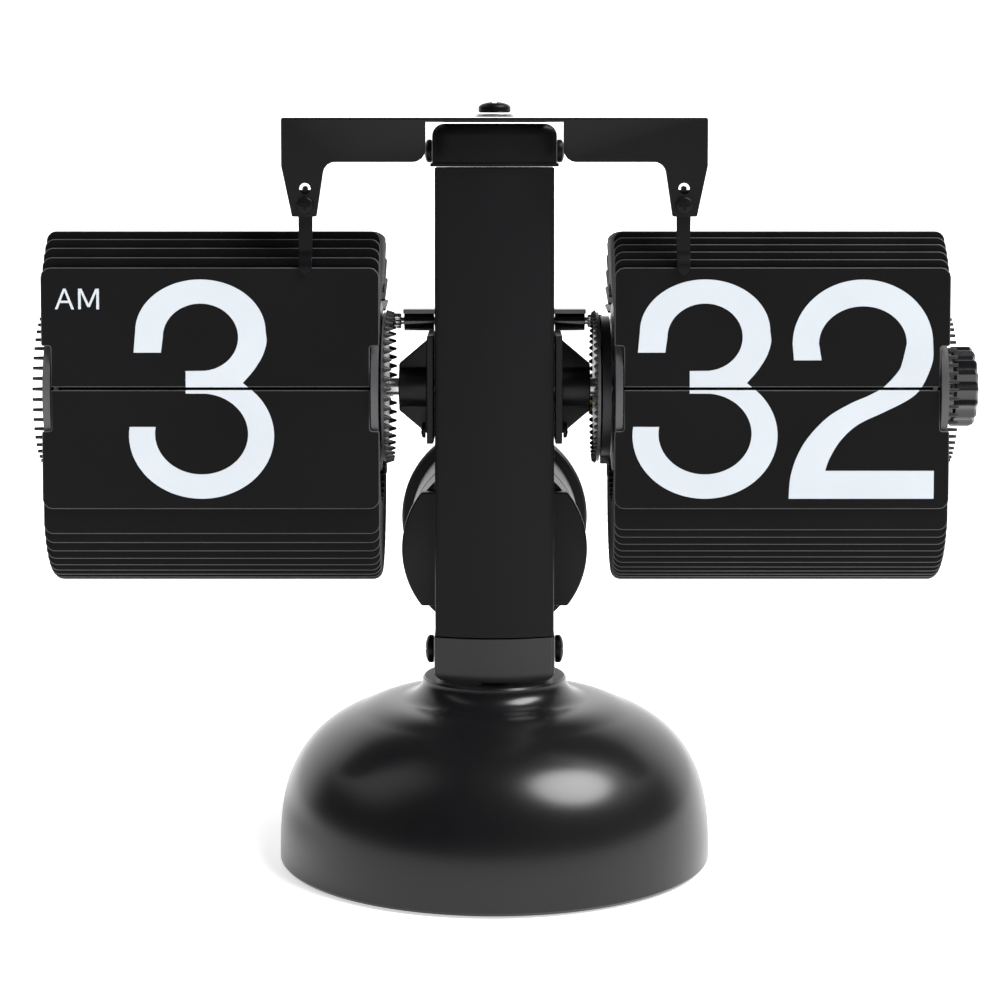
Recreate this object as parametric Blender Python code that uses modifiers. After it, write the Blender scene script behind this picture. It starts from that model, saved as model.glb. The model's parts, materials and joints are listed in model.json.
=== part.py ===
"""Flip number clock: a weighted round base, a square column and two drums of number leaves on one axle.

Metres, +Z up. The front faces -Y, and the origin is the middle of the base's resting face.
"""

import math

import bmesh
import bpy
from mathutils import Matrix, Vector

MM = 0.001
GAP = 0.3 * MM

# Base, a shell of revolution with a pad, an iron weight and one bolt
BASE_RADIUS = 46.4 * MM
BASE_SHOULDER = 36.0 * MM
BASE_FULLNESS = 3.0
BASE_WALL = 2.5 * MM
BASE_FOOT = 0.5 * MM
NECK_RADIUS = 15.5 * MM
NECK_TOP = 40.2 * MM
NECK_FLARE = 5.4 * MM
NECK_FLARE_HEIGHT = 5.1 * MM
NECK_RISE = 0.55 * MM
PAD_THICKNESS = 1.8 * MM
WEIGHT_RADIUS = 40.0 * MM
WEIGHT_BOTTOM = 5.4 * MM
WEIGHT_TOP = 17.0 * MM
BOLT_RADIUS = 3.0 * MM
BOLT_TOP = 46.0 * MM
BOLT_HEAD_RADIUS = 5.6 * MM

# Column with the clamp that carries it and the cap that closes it
COLUMN_WIDTH = 25.2 * MM
COLUMN_FRONT = -11.0 * MM
COLUMN_BACK = 9.5 * MM
COLUMN_BOW = 2.4 * MM
COLUMN_WALL = 2.0 * MM
COLUMN_CORNER = 1.2 * MM
COLUMN_BOTTOM = 50.3 * MM
COLUMN_TOP = 149.5 * MM
SPIGOT_HEIGHT = 8.0 * MM
CLAMP_TOP = COLUMN_BOTTOM - GAP
CAP_TOP = 158.8 * MM
CAP_OVERHANG = 0.5 * MM
CAP_CORNER = 2.8 * MM
CAP_BEAD = 0.4 * MM
CLAMP_OVERHANG = 0.2 * MM
CLAMP_CORNER = 2.6 * MM
CLAMP_SCREW_Z = 45.4 * MM
CAP_SCREW_Z = 153.0 * MM
TOP_SCREW_BORE = 1.9 * MM
AXLE_PASSAGE_RADIUS = 2.8 * MM

# Drums, both on the axle that runs along X
AXLE_Z = 102.4 * MM
AXLE_RADIUS = 1.9 * MM
BORE_RADIUS = 2.2 * MM
AXLE_SPAN = (-91.0 * MM, 97.3 * MM)
DISC_RADIUS = 18.0 * MM
DISC_THICKNESS = 1.5 * MM
HUB_RADIUS = 4.0 * MM
PIN_CIRCLE = 16.8 * MM
PIN_RADIUS = 0.45 * MM
HOUR_LEAVES = 48
MINUTE_LEAVES = 60
HOUR_SPAN = (-94.5 * MM, -24.0 * MM)
MINUTE_SPAN = (25.0 * MM, 95.0 * MM)
PIN_TIP = 1.9 * MM

# Number leaves
LEAF_THICKNESS = 0.6 * MM
LEAF_FRONT_Y = -16.8 * MM
LEAF_HINGE_Y = -17.2 * MM
LEAF_SPLIT_Z = 103.6 * MM
LEAF_LENGTH = 25.0 * MM
NOTCH_DEPTH = 2.0 * MM
NOTCH_HEIGHT = 8.9 * MM
LEAF_CORNER = 2.0 * MM
PACK_CIRCLE = 15.8 * MM
PACK_CORE = 13.8 * MM
PACK_BLADE = 0.3 * MM
PACK_SPACE = 0.55 * MM
STANDING_ARC = math.radians(31)
STANDING_LEAN = 0.35
RESTING_RISE = 6.5 * MM

# Gears
GEAR_OUTER = 16.6 * MM
GEAR_ROOT = 15.2 * MM
HOUR_GEAR_SPAN = (-23.8 * MM, -21.6 * MM)
DRIVE_GEAR_SPAN = (20.9 * MM, 22.3 * MM)
TRANSFER_WHEEL_SPAN = (22.7 * MM, 24.6 * MM)
TRANSFER_TOOTH_ANGLES = (math.radians(-100), math.radians(-92))
TRANSFER_PINION_TEETH = 6
TRANSFER_DISTANCE = 18.1 * MM
TRANSFER_ANGLE = math.radians(47.2)
ROD_RADIUS = 0.85 * MM
ROD_SPAN = (-23.6 * MM, 24.4 * MM)
ROD_SLEEVE_RADIUS = 2.2 * MM
LEFT_PINION_SPAN = (-23.8 * MM, -20.4 * MM)
RIGHT_PINION_SPAN = (22.7 * MM, 24.3 * MM)
PINION_PLAY = 0.15 * MM
DRIVE_PINION_TEETH = 10
DRIVE_DISTANCE = 18.75 * MM
DRIVE_ANGLE = math.radians(-13.7)
DRIVE_SHAFT_RADIUS = 0.9 * MM
MOTOR_RADIUS = 6.6 * MM
MOTOR_HALF_LENGTH = 10.5 * MM

# Gussets that carry the axle on each side of the column
FLANGE_SPAN = (12.9 * MM, 14.4 * MM)
SLEEVE_SPAN = (13.2 * MM, 20.5 * MM)
SLEEVE_RADIUS = 4.3 * MM
FLANGE_HALF_HEIGHT = 11.5 * MM

# Bracket over the cap, with a leg and a finger in front of each drum
BRACKET_HALF_WIDTH = 44.2 * MM
BRACKET_FRONT = -18.0 * MM
SHEET = 1.0 * MM
BRACKET_TOP = 160.0 * MM
ARM_BOTTOM = 150.8 * MM
ARM_INNER = 14.3 * MM
LEG_END = 139.5 * MM
FINGER_X = 39.3 * MM
FINGER_WIDTH = 3.1 * MM
FINGER_END = 129.3 * MM
STUD_Z = 145.3 * MM
STUD_RADIUS = 0.6 * MM
FINGER_SCREW_Z = 141.9 * MM

# Knob
KNOB_SPAN = (AXLE_SPAN[1] + GAP, 102.8 * MM)
KNOB_RADIUS = 8.6 * MM
KNOB_SCREW_RADIUS = 1.1 * MM
KNOB_FLUTES = 20
FLUTE_DEPTH = 0.56 * MM

# Battery housing behind the column, a round can on a face that is cut flat above and below
CASE_Z = 65.5 * MM
FACE_RADIUS = 20.4 * MM
FACE_FLAT = 12.6 * MM
FACE_THICKNESS = 2.8 * MM
CAN_RADIUS = 19.6 * MM
CASE_WALL = 1.5 * MM
CASE_SPAN = (9.8 * MM, 27.0 * MM)
RING_SPAN = (58.3 * MM, 62.0 * MM)
RING_INNER = 18.6 * MM
RING_OUTER = 22.1 * MM
CELL_RADIUS = 18.1 * MM
SPRING_RADII = (6.5 * MM, 3.5 * MM)
SPRING_REACH = 8.0 * MM

FINISHES = {
    "gloss_black": ((0.012, 0.012, 0.014), 0.12, 0.0),
    "satin_black": ((0.018, 0.018, 0.020), 0.38, 0.0),
    "black_metal": ((0.020, 0.020, 0.022), 0.35, 0.6),
    "matte_black": ((0.015, 0.015, 0.016), 0.55, 0.0),
    "leaf_black": ((0.016, 0.016, 0.018), 0.45, 0.0),
    "grey_plastic": ((0.25, 0.25, 0.26), 0.45, 0.0),
    "steel": ((0.60, 0.60, 0.60), 0.28, 1.0),
    "brass": ((0.75, 0.58, 0.26), 0.30, 1.0),
    "iron": ((0.10, 0.10, 0.11), 0.60, 0.8),
    "rubber": ((0.020, 0.020, 0.020), 0.80, 0.0),
    "board": ((0.02, 0.16, 0.07), 0.50, 0.0),
}


def clear_scene():
    for obj in list(bpy.data.objects):
        bpy.data.objects.remove(obj, do_unlink=True)


def new_collection(name):
    collection = bpy.data.collections.new(name)
    bpy.context.scene.collection.children.link(collection)
    return collection


def finish_material(finish):
    """The shared material of one finish."""
    found = bpy.data.materials.get(finish)
    if found:
        return found
    colour, roughness, metallic = FINISHES[finish]
    made = bpy.data.materials.new(finish)
    made.use_nodes = True
    shader = made.node_tree.nodes["Principled BSDF"]
    shader.inputs["Base Color"].default_value = (*colour, 1.0)
    shader.inputs["Roughness"].default_value = roughness
    shader.inputs["Metallic"].default_value = metallic
    return made


def add_object(name, data, finish):
    obj = bpy.data.objects.new(name, data)
    data.materials.append(finish_material(finish))
    bpy.data.collections["flip_number_clock"].objects.link(obj)
    return obj


def add_mesh(name, bm, finish):
    bmesh.ops.recalc_face_normals(bm, faces=bm.faces)
    mesh = bpy.data.meshes.new(name)
    bm.to_mesh(mesh)
    bm.free()
    mesh.shade_smooth()
    mesh.set_sharp_from_angle(angle=math.radians(35))
    return add_object(name, mesh, finish)


def box(name, low, high, finish, bevel=0.0):
    """A block between two corners, with rounded edges where bevel is given."""
    low, high = Vector(low), Vector(high)
    bm = bmesh.new()
    bmesh.ops.create_cube(bm, size=1.0, matrix=Matrix.Diagonal((*(high - low), 1.0)))
    obj = add_mesh(name, bm, finish)
    obj.location = (low + high) / 2
    if bevel:
        rounding = obj.modifiers.new("Bevel", "BEVEL")
        rounding.width = bevel
        rounding.segments = 2
    return obj


def rod(name, start, end, radius, finish, sides=20):
    """A round bar between two points."""
    start, end = Vector(start), Vector(end)
    bm = bmesh.new()
    bmesh.ops.create_cone(
        bm, cap_ends=True, segments=sides, radius1=radius, radius2=radius, depth=(end - start).length
    )
    obj = add_mesh(name, bm, finish)
    obj.location = (start + end) / 2
    obj.rotation_euler = Vector((0, 0, 1)).rotation_difference(end - start).to_euler()
    return obj


AXIS_TURN = {
    "Z": (0, 0, 0),
    "-Z": (math.pi, 0, 0),
    "X": (0, math.pi / 2, 0),
    "-X": (0, -math.pi / 2, 0),
    "Y": (-math.pi / 2, 0, 0),
    "-Y": (math.pi / 2, 0, 0),
}


def turned(name, profile, place, axis, finish, steps=32):
    """A body of revolution. The profile holds (radius, height) and runs down the outer side.

    A profile that starts and ends on the axis is a solid one, and any other is closed into a ring.
    """
    bm = bmesh.new()
    points = [bm.verts.new((radius, 0, height)) for radius, height in profile]
    for first, second in zip(points, points[1:]):
        bm.edges.new((first, second))
    if profile[0][0] > 0:
        bm.edges.new((points[-1], points[0]))
    mesh = bpy.data.meshes.new(name)
    bm.to_mesh(mesh)
    bm.free()
    obj = add_object(name, mesh, finish)
    obj.location = place
    obj.rotation_euler = AXIS_TURN[axis]
    screw = obj.modifiers.new("Screw", "SCREW")
    screw.steps = steps
    screw.render_steps = steps
    screw.use_merge_vertices = True
    screw.merge_threshold = 0.01 * MM
    return obj


def tube(name, inner, outer, span, place, axis, finish, steps=32):
    low, high = span
    profile = [(outer, high), (outer, low), (inner, low), (inner, high)]
    return turned(name, profile, place, axis, finish, steps)


PLANE_TURN = {
    "XY": (0, 0, 0),
    "XZ": (math.pi / 2, 0, 0),
    "YZ": (math.pi / 2, 0, math.pi / 2),
}


def plate(name, outlines, plane, span, finish):
    """A flat outline, with any holes, drawn in a plane and thickened over a span along its normal."""
    curve = bpy.data.curves.new(name, "CURVE")
    curve.dimensions = "2D"
    curve.fill_mode = "BOTH"
    curve.extrude = abs(span[1] - span[0]) / 2
    for outline in outlines:
        spline = curve.splines.new("POLY")
        spline.points.add(len(outline) - 1)
        for point, (across, up) in zip(spline.points, outline):
            point.co = (across, up, 0, 1)
        spline.use_cyclic_u = True
    obj = add_object(name, curve, finish)
    middle = (span[0] + span[1]) / 2
    obj.location = {"XY": (0, 0, middle), "XZ": (0, middle, 0), "YZ": (middle, 0, 0)}[plane]
    obj.rotation_euler = PLANE_TURN[plane]
    return obj


def as_mesh(obj):
    """Replaces an object by its evaluated mesh, so that a Boolean can use it."""
    bpy.context.view_layer.update()
    mesh = bpy.data.meshes.new_from_object(obj.evaluated_get(bpy.context.evaluated_depsgraph_get()))
    bm = bmesh.new()
    bm.from_mesh(mesh)
    bmesh.ops.remove_doubles(bm, verts=bm.verts, dist=0.001 * MM)
    bmesh.ops.recalc_face_normals(bm, faces=bm.faces)
    bm.to_mesh(mesh)
    bm.free()
    name, place = obj.name, obj.matrix_world.copy()
    bpy.data.objects.remove(obj)
    made = bpy.data.objects.new(name, mesh)
    made.matrix_world = place
    bpy.data.collections["flip_number_clock"].objects.link(made)
    return made


def combine(obj, helpers, operation):
    """Joins helpers to an object, or cuts them from it, and moves them to the cutters."""
    obj = as_mesh(obj)
    for helper in helpers:
        helper = as_mesh(helper)
        bpy.data.collections["flip_number_clock"].objects.unlink(helper)
        bpy.data.collections["cutters"].objects.link(helper)
        helper.hide_render = True
        helper.display_type = "WIRE"
        boolean = obj.modifiers.new(helper.name, "BOOLEAN")
        boolean.operation = operation
        boolean.solver = "EXACT"
        boolean.object = helper
    return obj


def arc(centre, radius, start, end, steps):
    """Points along an arc, with angles in radians counted from the first axis to the second."""
    angles = [start + (end - start) * step / steps for step in range(steps + 1)]
    return [(centre[0] + radius * math.cos(a), centre[1] + radius * math.sin(a)) for a in angles]


def ring(radius, steps, centre=(0, AXLE_Z)):
    """A closed circle's points, about the axle unless a centre is given."""
    return arc(centre, radius, 0, math.tau * (steps - 1) / steps, steps - 1)


def rounded(corners, steps=4):
    """An outline from (across, up, corner radius) triples."""
    points = []
    count = len(corners)
    for index, (across, up, radius) in enumerate(corners):
        corner = Vector((across, up))
        if not radius:
            points.append((across, up))
            continue
        before = (Vector(corners[index - 1][:2]) - corner).normalized()
        after = (Vector(corners[(index + 1) % count][:2]) - corner).normalized()
        half = before.angle(after) / 2
        centre = corner + (before + after).normalized() * radius / math.sin(half)
        first = corner + before * radius / math.tan(half) - centre
        last = corner + after * radius / math.tan(half) - centre
        for step in range(steps + 1):
            spoke = first.lerp(last, step / steps).normalized() * radius
            points.append(tuple(centre + spoke))
    return points


def toothed(centre, teeth, root, outer, phase, root_share=0.62, tip_share=0.0):
    """A gear's outline, with straight flanks and pointed or flat tips. Phase is the first tooth's angle."""
    pitch = math.tau / teeth
    points = []
    for tooth in range(teeth):
        angle = phase + tooth * pitch
        tip = ((outer, -tip_share), (outer, tip_share)) if tip_share else ((outer, 0),)
        for radius, offset in ((root, -root_share), *tip, (root, root_share)):
            turn = angle + offset * pitch / 2
            points.append((centre[0] + radius * math.cos(turn), centre[1] + radius * math.sin(turn)))
    return points


def screw(name, place, axis, head_radius, head_height, shank_radius, shank_length, finish):
    """A round-headed screw whose head stands out of the surface at place, along axis."""
    crown = [
        (head_radius * math.sin(turn), head_height * (0.45 + 0.55 * math.cos(turn)))
        for turn in (0, math.radians(35), math.radians(65), math.radians(90))
    ]
    shank = [(shank_radius, GAP), (shank_radius, -shank_length), (0, -shank_length)]
    profile = [*crown, (head_radius, GAP), *shank]
    return turned(name, profile, place, axis, finish, steps=14)


def base_outer(steps):
    """The bell's outer profile from its shoulder to its foot."""
    points = []
    for step in range(steps + 1):
        turn = math.radians(62) * (1 - step / steps) ** 1.3
        radius = BASE_RADIUS * math.cos(turn) ** (2 / BASE_FULLNESS)
        height = BASE_SHOULDER * math.sin(turn) ** (2 / BASE_FULLNESS)
        points.append((radius, max(height, BASE_FOOT)))
    return points


def make_base():
    bell = base_outer(9)
    shoulder_radius, shoulder_height = bell[0]
    flare_radius, flare_height = NECK_RADIUS + NECK_FLARE, NECK_TOP - NECK_FLARE_HEIGHT
    flare = [
        (flare_radius - NECK_FLARE * math.cos(turn), NECK_TOP - NECK_FLARE_HEIGHT * math.sin(turn))
        for turn in (math.radians(angle) for angle in (0, 22, 45, 68, 90))
    ]
    blend = ((flare_radius + shoulder_radius) / 2, (flare_height + shoulder_height) / 2 + NECK_RISE)
    outer = [*flare, blend, *bell]
    inner_share = (BASE_RADIUS - BASE_WALL) / BASE_RADIUS
    inner = [(BASE_RADIUS - BASE_WALL, BASE_FOOT)]
    inner += [
        (radius * inner_share, max(height - BASE_WALL, BASE_FOOT))
        for radius, height in reversed(bell[:-1:2])
    ]
    crown, ceiling = NECK_RADIUS - BASE_WALL, NECK_TOP - BASE_WALL
    bore = BOLT_RADIUS + 2 * GAP
    inner += [(crown, flare_height - BASE_WALL), (crown, ceiling), (bore, ceiling), (bore, NECK_TOP)]
    turned("base_shell", outer + inner, (0, 0, 0), "Z", "gloss_black", steps=36)

    tube("base_weight", bore, WEIGHT_RADIUS, (WEIGHT_BOTTOM, WEIGHT_TOP), (0, 0, 0), "Z", "iron", 28)
    pad_radius = BASE_RADIUS - BASE_WALL - GAP
    pad = [(0, PAD_THICKNESS), (pad_radius, PAD_THICKNESS), (pad_radius, 0), (0, 0)]
    turned("base_pad", pad, (0, 0, 0), "Z", "rubber", steps=40)
    head_bottom, head_top = PAD_THICKNESS + GAP, WEIGHT_BOTTOM - GAP
    bolt = [
        (0, BOLT_TOP), (BOLT_RADIUS, BOLT_TOP), (BOLT_RADIUS, head_top),
        (BOLT_HEAD_RADIUS, head_top), (BOLT_HEAD_RADIUS, head_bottom), (0, head_bottom),
    ]
    turned("base_bolt", bolt, (0, 0, 0), "Z", "steel", steps=18)


def column_outline(grow):
    """The column's section, grown outwards: a square with a bowed front and small corners."""
    half = COLUMN_WIDTH / 2 + grow
    front = COLUMN_FRONT - grow
    back = COLUMN_BACK + grow
    radius = (half**2 + COLUMN_BOW**2) / (2 * COLUMN_BOW)
    spread = math.asin(half / radius)
    bowed = arc((0, front - COLUMN_BOW + radius), radius, -math.pi / 2 - spread, -math.pi / 2 + spread, 10)
    rear = rounded([
        (half, front, 0), (half, back, COLUMN_CORNER), (-half, back, COLUMN_CORNER), (-half, front, 0)], 3)
    return bowed + rear[1:-1]


def front_shape(name, half_width, low, high, low_corner, high_corner):
    """A block with rounded corners seen from the front, for trimming a clamp or cap."""
    outline = rounded([
        (-half_width, low, low_corner), (half_width, low, low_corner),
        (half_width, high, high_corner), (-half_width, high, high_corner),
    ])
    return plate(name, [outline], "XZ", (-25 * MM, 25 * MM), "satin_black")


def make_column():
    plate("column_tube", [column_outline(0), column_outline(-COLUMN_WALL)], "XY",
          (COLUMN_BOTTOM, COLUMN_TOP), "satin_black")
    spigot_grow = -COLUMN_WALL - GAP
    join = 2 * MM
    clamp_half = COLUMN_WIDTH / 2 + CLAMP_OVERHANG
    clamp_bottom = NECK_TOP + GAP
    clamp = plate("lower_clamp", [column_outline(CLAMP_OVERHANG)], "XY",
                  (clamp_bottom, CLAMP_TOP), "satin_black")
    clamp = combine(clamp, [front_shape(
        "clamp_shape", clamp_half, clamp_bottom, CLAMP_TOP + join, CLAMP_CORNER, 0)], "INTERSECT")
    spigot = plate("clamp_spigot", [column_outline(spigot_grow)], "XY",
                   (CLAMP_TOP - join, CLAMP_TOP + SPIGOT_HEIGHT), "satin_black")
    clamp = combine(clamp, [spigot], "UNION")
    bolt_hole = rod("clamp_bore", (0, 0, 30 * MM), (0, 0, BOLT_TOP + 1.0 * MM), BOLT_RADIUS + GAP, "steel")
    combine(clamp, [bolt_hole], "DIFFERENCE")

    cap_bottom = COLUMN_TOP + GAP
    cap = plate("upper_cap", [column_outline(CAP_OVERHANG)], "XY", (cap_bottom, CAP_TOP), "satin_black")
    cap_half = COLUMN_WIDTH / 2 + CAP_OVERHANG
    cap = combine(cap, [front_shape(
        "cap_shape", cap_half, cap_bottom - join, CAP_TOP, 0, CAP_CORNER)], "INTERSECT")
    bead = plate("cap_bead", [column_outline(CAP_OVERHANG + CAP_BEAD)], "XY",
                 (cap_bottom, cap_bottom + 0.6 * MM), "satin_black")
    plug = plate("cap_spigot", [column_outline(spigot_grow)], "XY",
                 (COLUMN_TOP - SPIGOT_HEIGHT, COLUMN_TOP + join), "satin_black")
    cap = combine(cap, [bead, plug], "UNION")
    screw_bore = rod("cap_bore", (0, 0, 150 * MM), (0, 0, 170 * MM), TOP_SCREW_BORE, "steel")
    combine(cap, [screw_bore], "DIFFERENCE")

    for side, word in ((-1, "left"), (1, "right")):
        axis = "X" if side > 0 else "-X"
        screw(f"clamp_screw_{word}", (side * clamp_half, 0, CLAMP_SCREW_Z), axis,
              3.0 * MM, 2.2 * MM, 1.5 * MM, 0.0, "steel")
        screw(f"cap_side_screw_{word}", (side * cap_half, 0, CAP_SCREW_Z), axis,
              2.5 * MM, 1.9 * MM, 1.2 * MM, 0.0, "steel")


def make_bracket():
    """Sheet-metal bracket: a strip over the cap, with an arm and a tapered leg on each side."""
    def arm(side):
        corners = [
            (ARM_INNER, BRACKET_TOP - 0.4 * MM, 0), (ARM_INNER, ARM_BOTTOM, 2.6 * MM),
            (35.2 * MM, ARM_BOTTOM, 2.4 * MM), (36.9 * MM, LEG_END, 0.4 * MM), (42.0 * MM, LEG_END, 0.4 * MM),
            (BRACKET_HALF_WIDTH, 150.0 * MM, 0), (BRACKET_HALF_WIDTH, BRACKET_TOP - 0.4 * MM, 0),
        ]
        return [(side * across, up) for across, up in rounded(corners)]

    def hole(side):
        return ring(1.2 * MM, 12, (side * FINGER_X, STUD_Z))

    arms = plate("arm_bracket", [arm(-1), hole(-1), arm(1), hole(1)], "XZ",
                 (BRACKET_FRONT, BRACKET_FRONT + SHEET), "black_metal")
    strip = box("bracket_strip", (-BRACKET_HALF_WIDTH, BRACKET_FRONT, BRACKET_TOP - 0.9 * MM),
                (BRACKET_HALF_WIDTH, -12.6 * MM, BRACKET_TOP), "black_metal", 0.35 * MM)
    tongue = box("bracket_tongue", (-11.0 * MM, -14.0 * MM, BRACKET_TOP - 0.85 * MM),
                 (11.0 * MM, 6.5 * MM, BRACKET_TOP - 0.05 * MM), "black_metal")
    bore = rod("bracket_bore", (0, 0, 150 * MM), (0, 0, 170 * MM), 2.1 * MM, "steel")
    screw_bores = [
        rod(f"finger_bore_{word}", (side * FINGER_X, -20 * MM, FINGER_SCREW_Z),
            (side * FINGER_X, -10 * MM, FINGER_SCREW_Z), 1.0 * MM, "steel", 12)
        for side, word in ((-1, "left"), (1, "right"))
    ]
    arms = combine(arms, [strip, tongue], "UNION")
    combine(arms, [bore, *screw_bores], "DIFFERENCE")

    washer = (BRACKET_TOP + GAP, BRACKET_TOP + 0.9 * MM)
    tube("cap_washer", 2.1 * MM, 4.2 * MM, washer, (0, 0, 0), "Z", "steel", 24)
    screw("cap_screw", (0, 0, washer[1]), "Z", 3.45 * MM, 2.6 * MM, 1.6 * MM, 6.5 * MM, "satin_black")


def make_fingers():
    behind = BRACKET_FRONT + SHEET + GAP
    half = FINGER_WIDTH / 2
    for side, word in ((-1, "left"), (1, "right")):
        middle = side * FINGER_X
        strip = rounded([
            (middle + half, STUD_Z, 0), (middle + half, FINGER_END, 1.3 * MM),
            (middle - half, FINGER_END, 1.3 * MM), (middle - half, STUD_Z, 0),
        ])
        saddle = arc((middle, STUD_Z), STUD_RADIUS + GAP, math.pi, math.tau, 8)
        screw_hole = ring(0.95 * MM, 10, (middle, FINGER_SCREW_Z))
        plate(f"finger_{word}", [strip + saddle, screw_hole], "XZ",
              (behind, behind + 0.5 * MM), "satin_black")
        screw(f"finger_screw_{word}", (middle, BRACKET_FRONT, FINGER_SCREW_Z), "-Y",
              1.75 * MM, 1.1 * MM, 0.6 * MM, 2.4 * MM, "satin_black")
        stud_back = behind + 1.6 * MM
        stud_length = stud_back - BRACKET_FRONT
        stud = [(0, stud_length), (STUD_RADIUS, stud_length), (STUD_RADIUS, 0.2 * MM), (0, 0.2 * MM)]
        turned(f"finger_stud_{word}", stud, (middle, BRACKET_FRONT, STUD_Z), "Y", "satin_black", steps=10)


def leaf_outline(span, toward):
    """A number leaf from the split line, upwards where toward is 1 and downwards where it is -1."""
    left, right = span
    start = LEAF_SPLIT_Z + toward * GAP
    notch = LEAF_SPLIT_Z + toward * NOTCH_HEIGHT
    end = LEAF_SPLIT_Z + toward * (LEAF_LENGTH + GAP)
    return rounded([
        (left + NOTCH_DEPTH, start, 0), (left + NOTCH_DEPTH, notch, 0.5 * MM), (left, notch, 0.5 * MM),
        (left, end, LEAF_CORNER), (right, end, LEAF_CORNER),
        (right, notch, 0.5 * MM), (right - NOTCH_DEPTH, notch, 0.5 * MM), (right - NOTCH_DEPTH, start, 0),
    ], 3)


def fan_outline(places, directions, side):
    """The section of a pack of leaves that share one core, which runs along the pivot circle."""
    centre = Vector((0, AXLE_Z))
    points = []
    for index, (angle, way) in enumerate(zip(places, directions)):
        foot = centre + PACK_CIRCLE * Vector((-math.cos(angle), math.sin(angle)))
        along = Vector((math.sin(way), math.cos(way)))
        across = Vector((-along.y, along.x)) * side * PACK_BLADE / 2
        if index == 0:
            points.append(foot + across)
        points += [foot + along * LEAF_LENGTH + across, foot + along * LEAF_LENGTH - across]
        if index == len(places) - 1:
            points.append(foot - across)
            break
        turn = abs(directions[index + 1] - way)
        apart = PACK_CIRCLE * abs(places[index + 1] - angle) * abs(math.sin(angle - way))
        valley = max(0.5 * MM, (PACK_SPACE - apart) / turn) if turn else 0.5 * MM
        next_foot = centre + PACK_CIRCLE * Vector((-math.cos(places[index + 1]), math.sin(places[index + 1])))
        next_along = Vector((math.sin(directions[index + 1]), math.cos(directions[index + 1])))
        points.append((foot + along * valley + next_foot + next_along * valley) / 2)
    for angle in reversed(places[:: max(1, len(places) // 8)]):
        points.append(centre + PACK_CORE * Vector((-math.cos(angle), math.sin(angle))))
    return [tuple(point) for point in points]


def leaf_lean(angle):
    """How far a leaf leans back from upright, when its pivot is this far round from the front.

    The first leaves stand and the next lie back with their tips at one height. Past the top they swing down.
    """
    if angle < STANDING_ARC:
        return STANDING_LEAN * angle
    quarter = math.pi / 2
    drop = PACK_CIRCLE * math.sin(min(angle, quarter)) - RESTING_RISE
    lying = math.acos(1 - drop / LEAF_LENGTH)
    if angle < quarter:
        return lying
    return lying + (angle - quarter) * (math.pi - lying) / quarter


def make_leaves(word, span, count):
    half = LEAF_THICKNESS / 2
    faces = (LEAF_FRONT_Y - half, LEAF_FRONT_Y + half)
    plate(f"{word}_top_leaf", [leaf_outline(span, 1)], "XZ", faces, "leaf_black")
    plate(f"{word}_bottom_leaf", [leaf_outline(span, -1)], "XZ", faces, "leaf_black")
    inner = (span[0] + NOTCH_DEPTH + GAP, span[1] - NOTCH_DEPTH - GAP)
    pitch = math.tau / count
    upper = [pitch * step for step in range(1, count // 2 - 1)]
    plate(f"{word}_upper_leaves", [fan_outline(upper, [leaf_lean(angle) for angle in upper], 1)], "YZ",
          inner, "leaf_black")
    lower = [-pitch * step for step in range(2, count // 2 - 1)]
    plate(f"{word}_lower_leaves", [fan_outline(lower, [math.pi] * len(lower), -1)], "YZ", inner, "leaf_black")


def make_disc(name, span, pin_count, pin_tip):
    """A drum's end disc. One on the outside carries the ends of the leaf pivots as a ring of pins."""
    disc = tube(name, BORE_RADIUS, DISC_RADIUS, span, (0, 0, AXLE_Z), "X", "grey_plastic", 40)
    if not pin_count:
        return
    inside = (span[0] + span[1]) / 2
    low, high = min(inside, pin_tip), max(inside, pin_tip)
    bm = bmesh.new()
    for pin in range(pin_count):
        turn = math.tau * (pin + 0.5) / pin_count
        across, up = PIN_CIRCLE * math.cos(turn), AXLE_Z + PIN_CIRCLE * math.sin(turn)
        place = Matrix.Translation(((low + high) / 2, across, up))
        place = place @ Matrix.Rotation(turn, 4, "X") @ Matrix.Rotation(math.pi / 2, 4, "Y")
        bmesh.ops.create_cone(bm, cap_ends=True, segments=4, radius1=PIN_RADIUS, radius2=PIN_RADIUS,
                              depth=high - low, matrix=place)
    pins = add_mesh(f"{name}_pins", bm, "grey_plastic")
    combine(disc, [pins], "UNION")


def make_gear(name, teeth, span, phase, finish):
    outline = toothed((0, AXLE_Z), teeth, GEAR_ROOT, GEAR_OUTER, phase)
    plate(name, [outline, ring(BORE_RADIUS, 20)], "YZ", span, finish)


def on_circle(distance, angle):
    """A point (y, z) at this distance from the axle, with the angle counted up from straight back."""
    return distance * math.cos(angle), AXLE_Z + distance * math.sin(angle)


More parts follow.
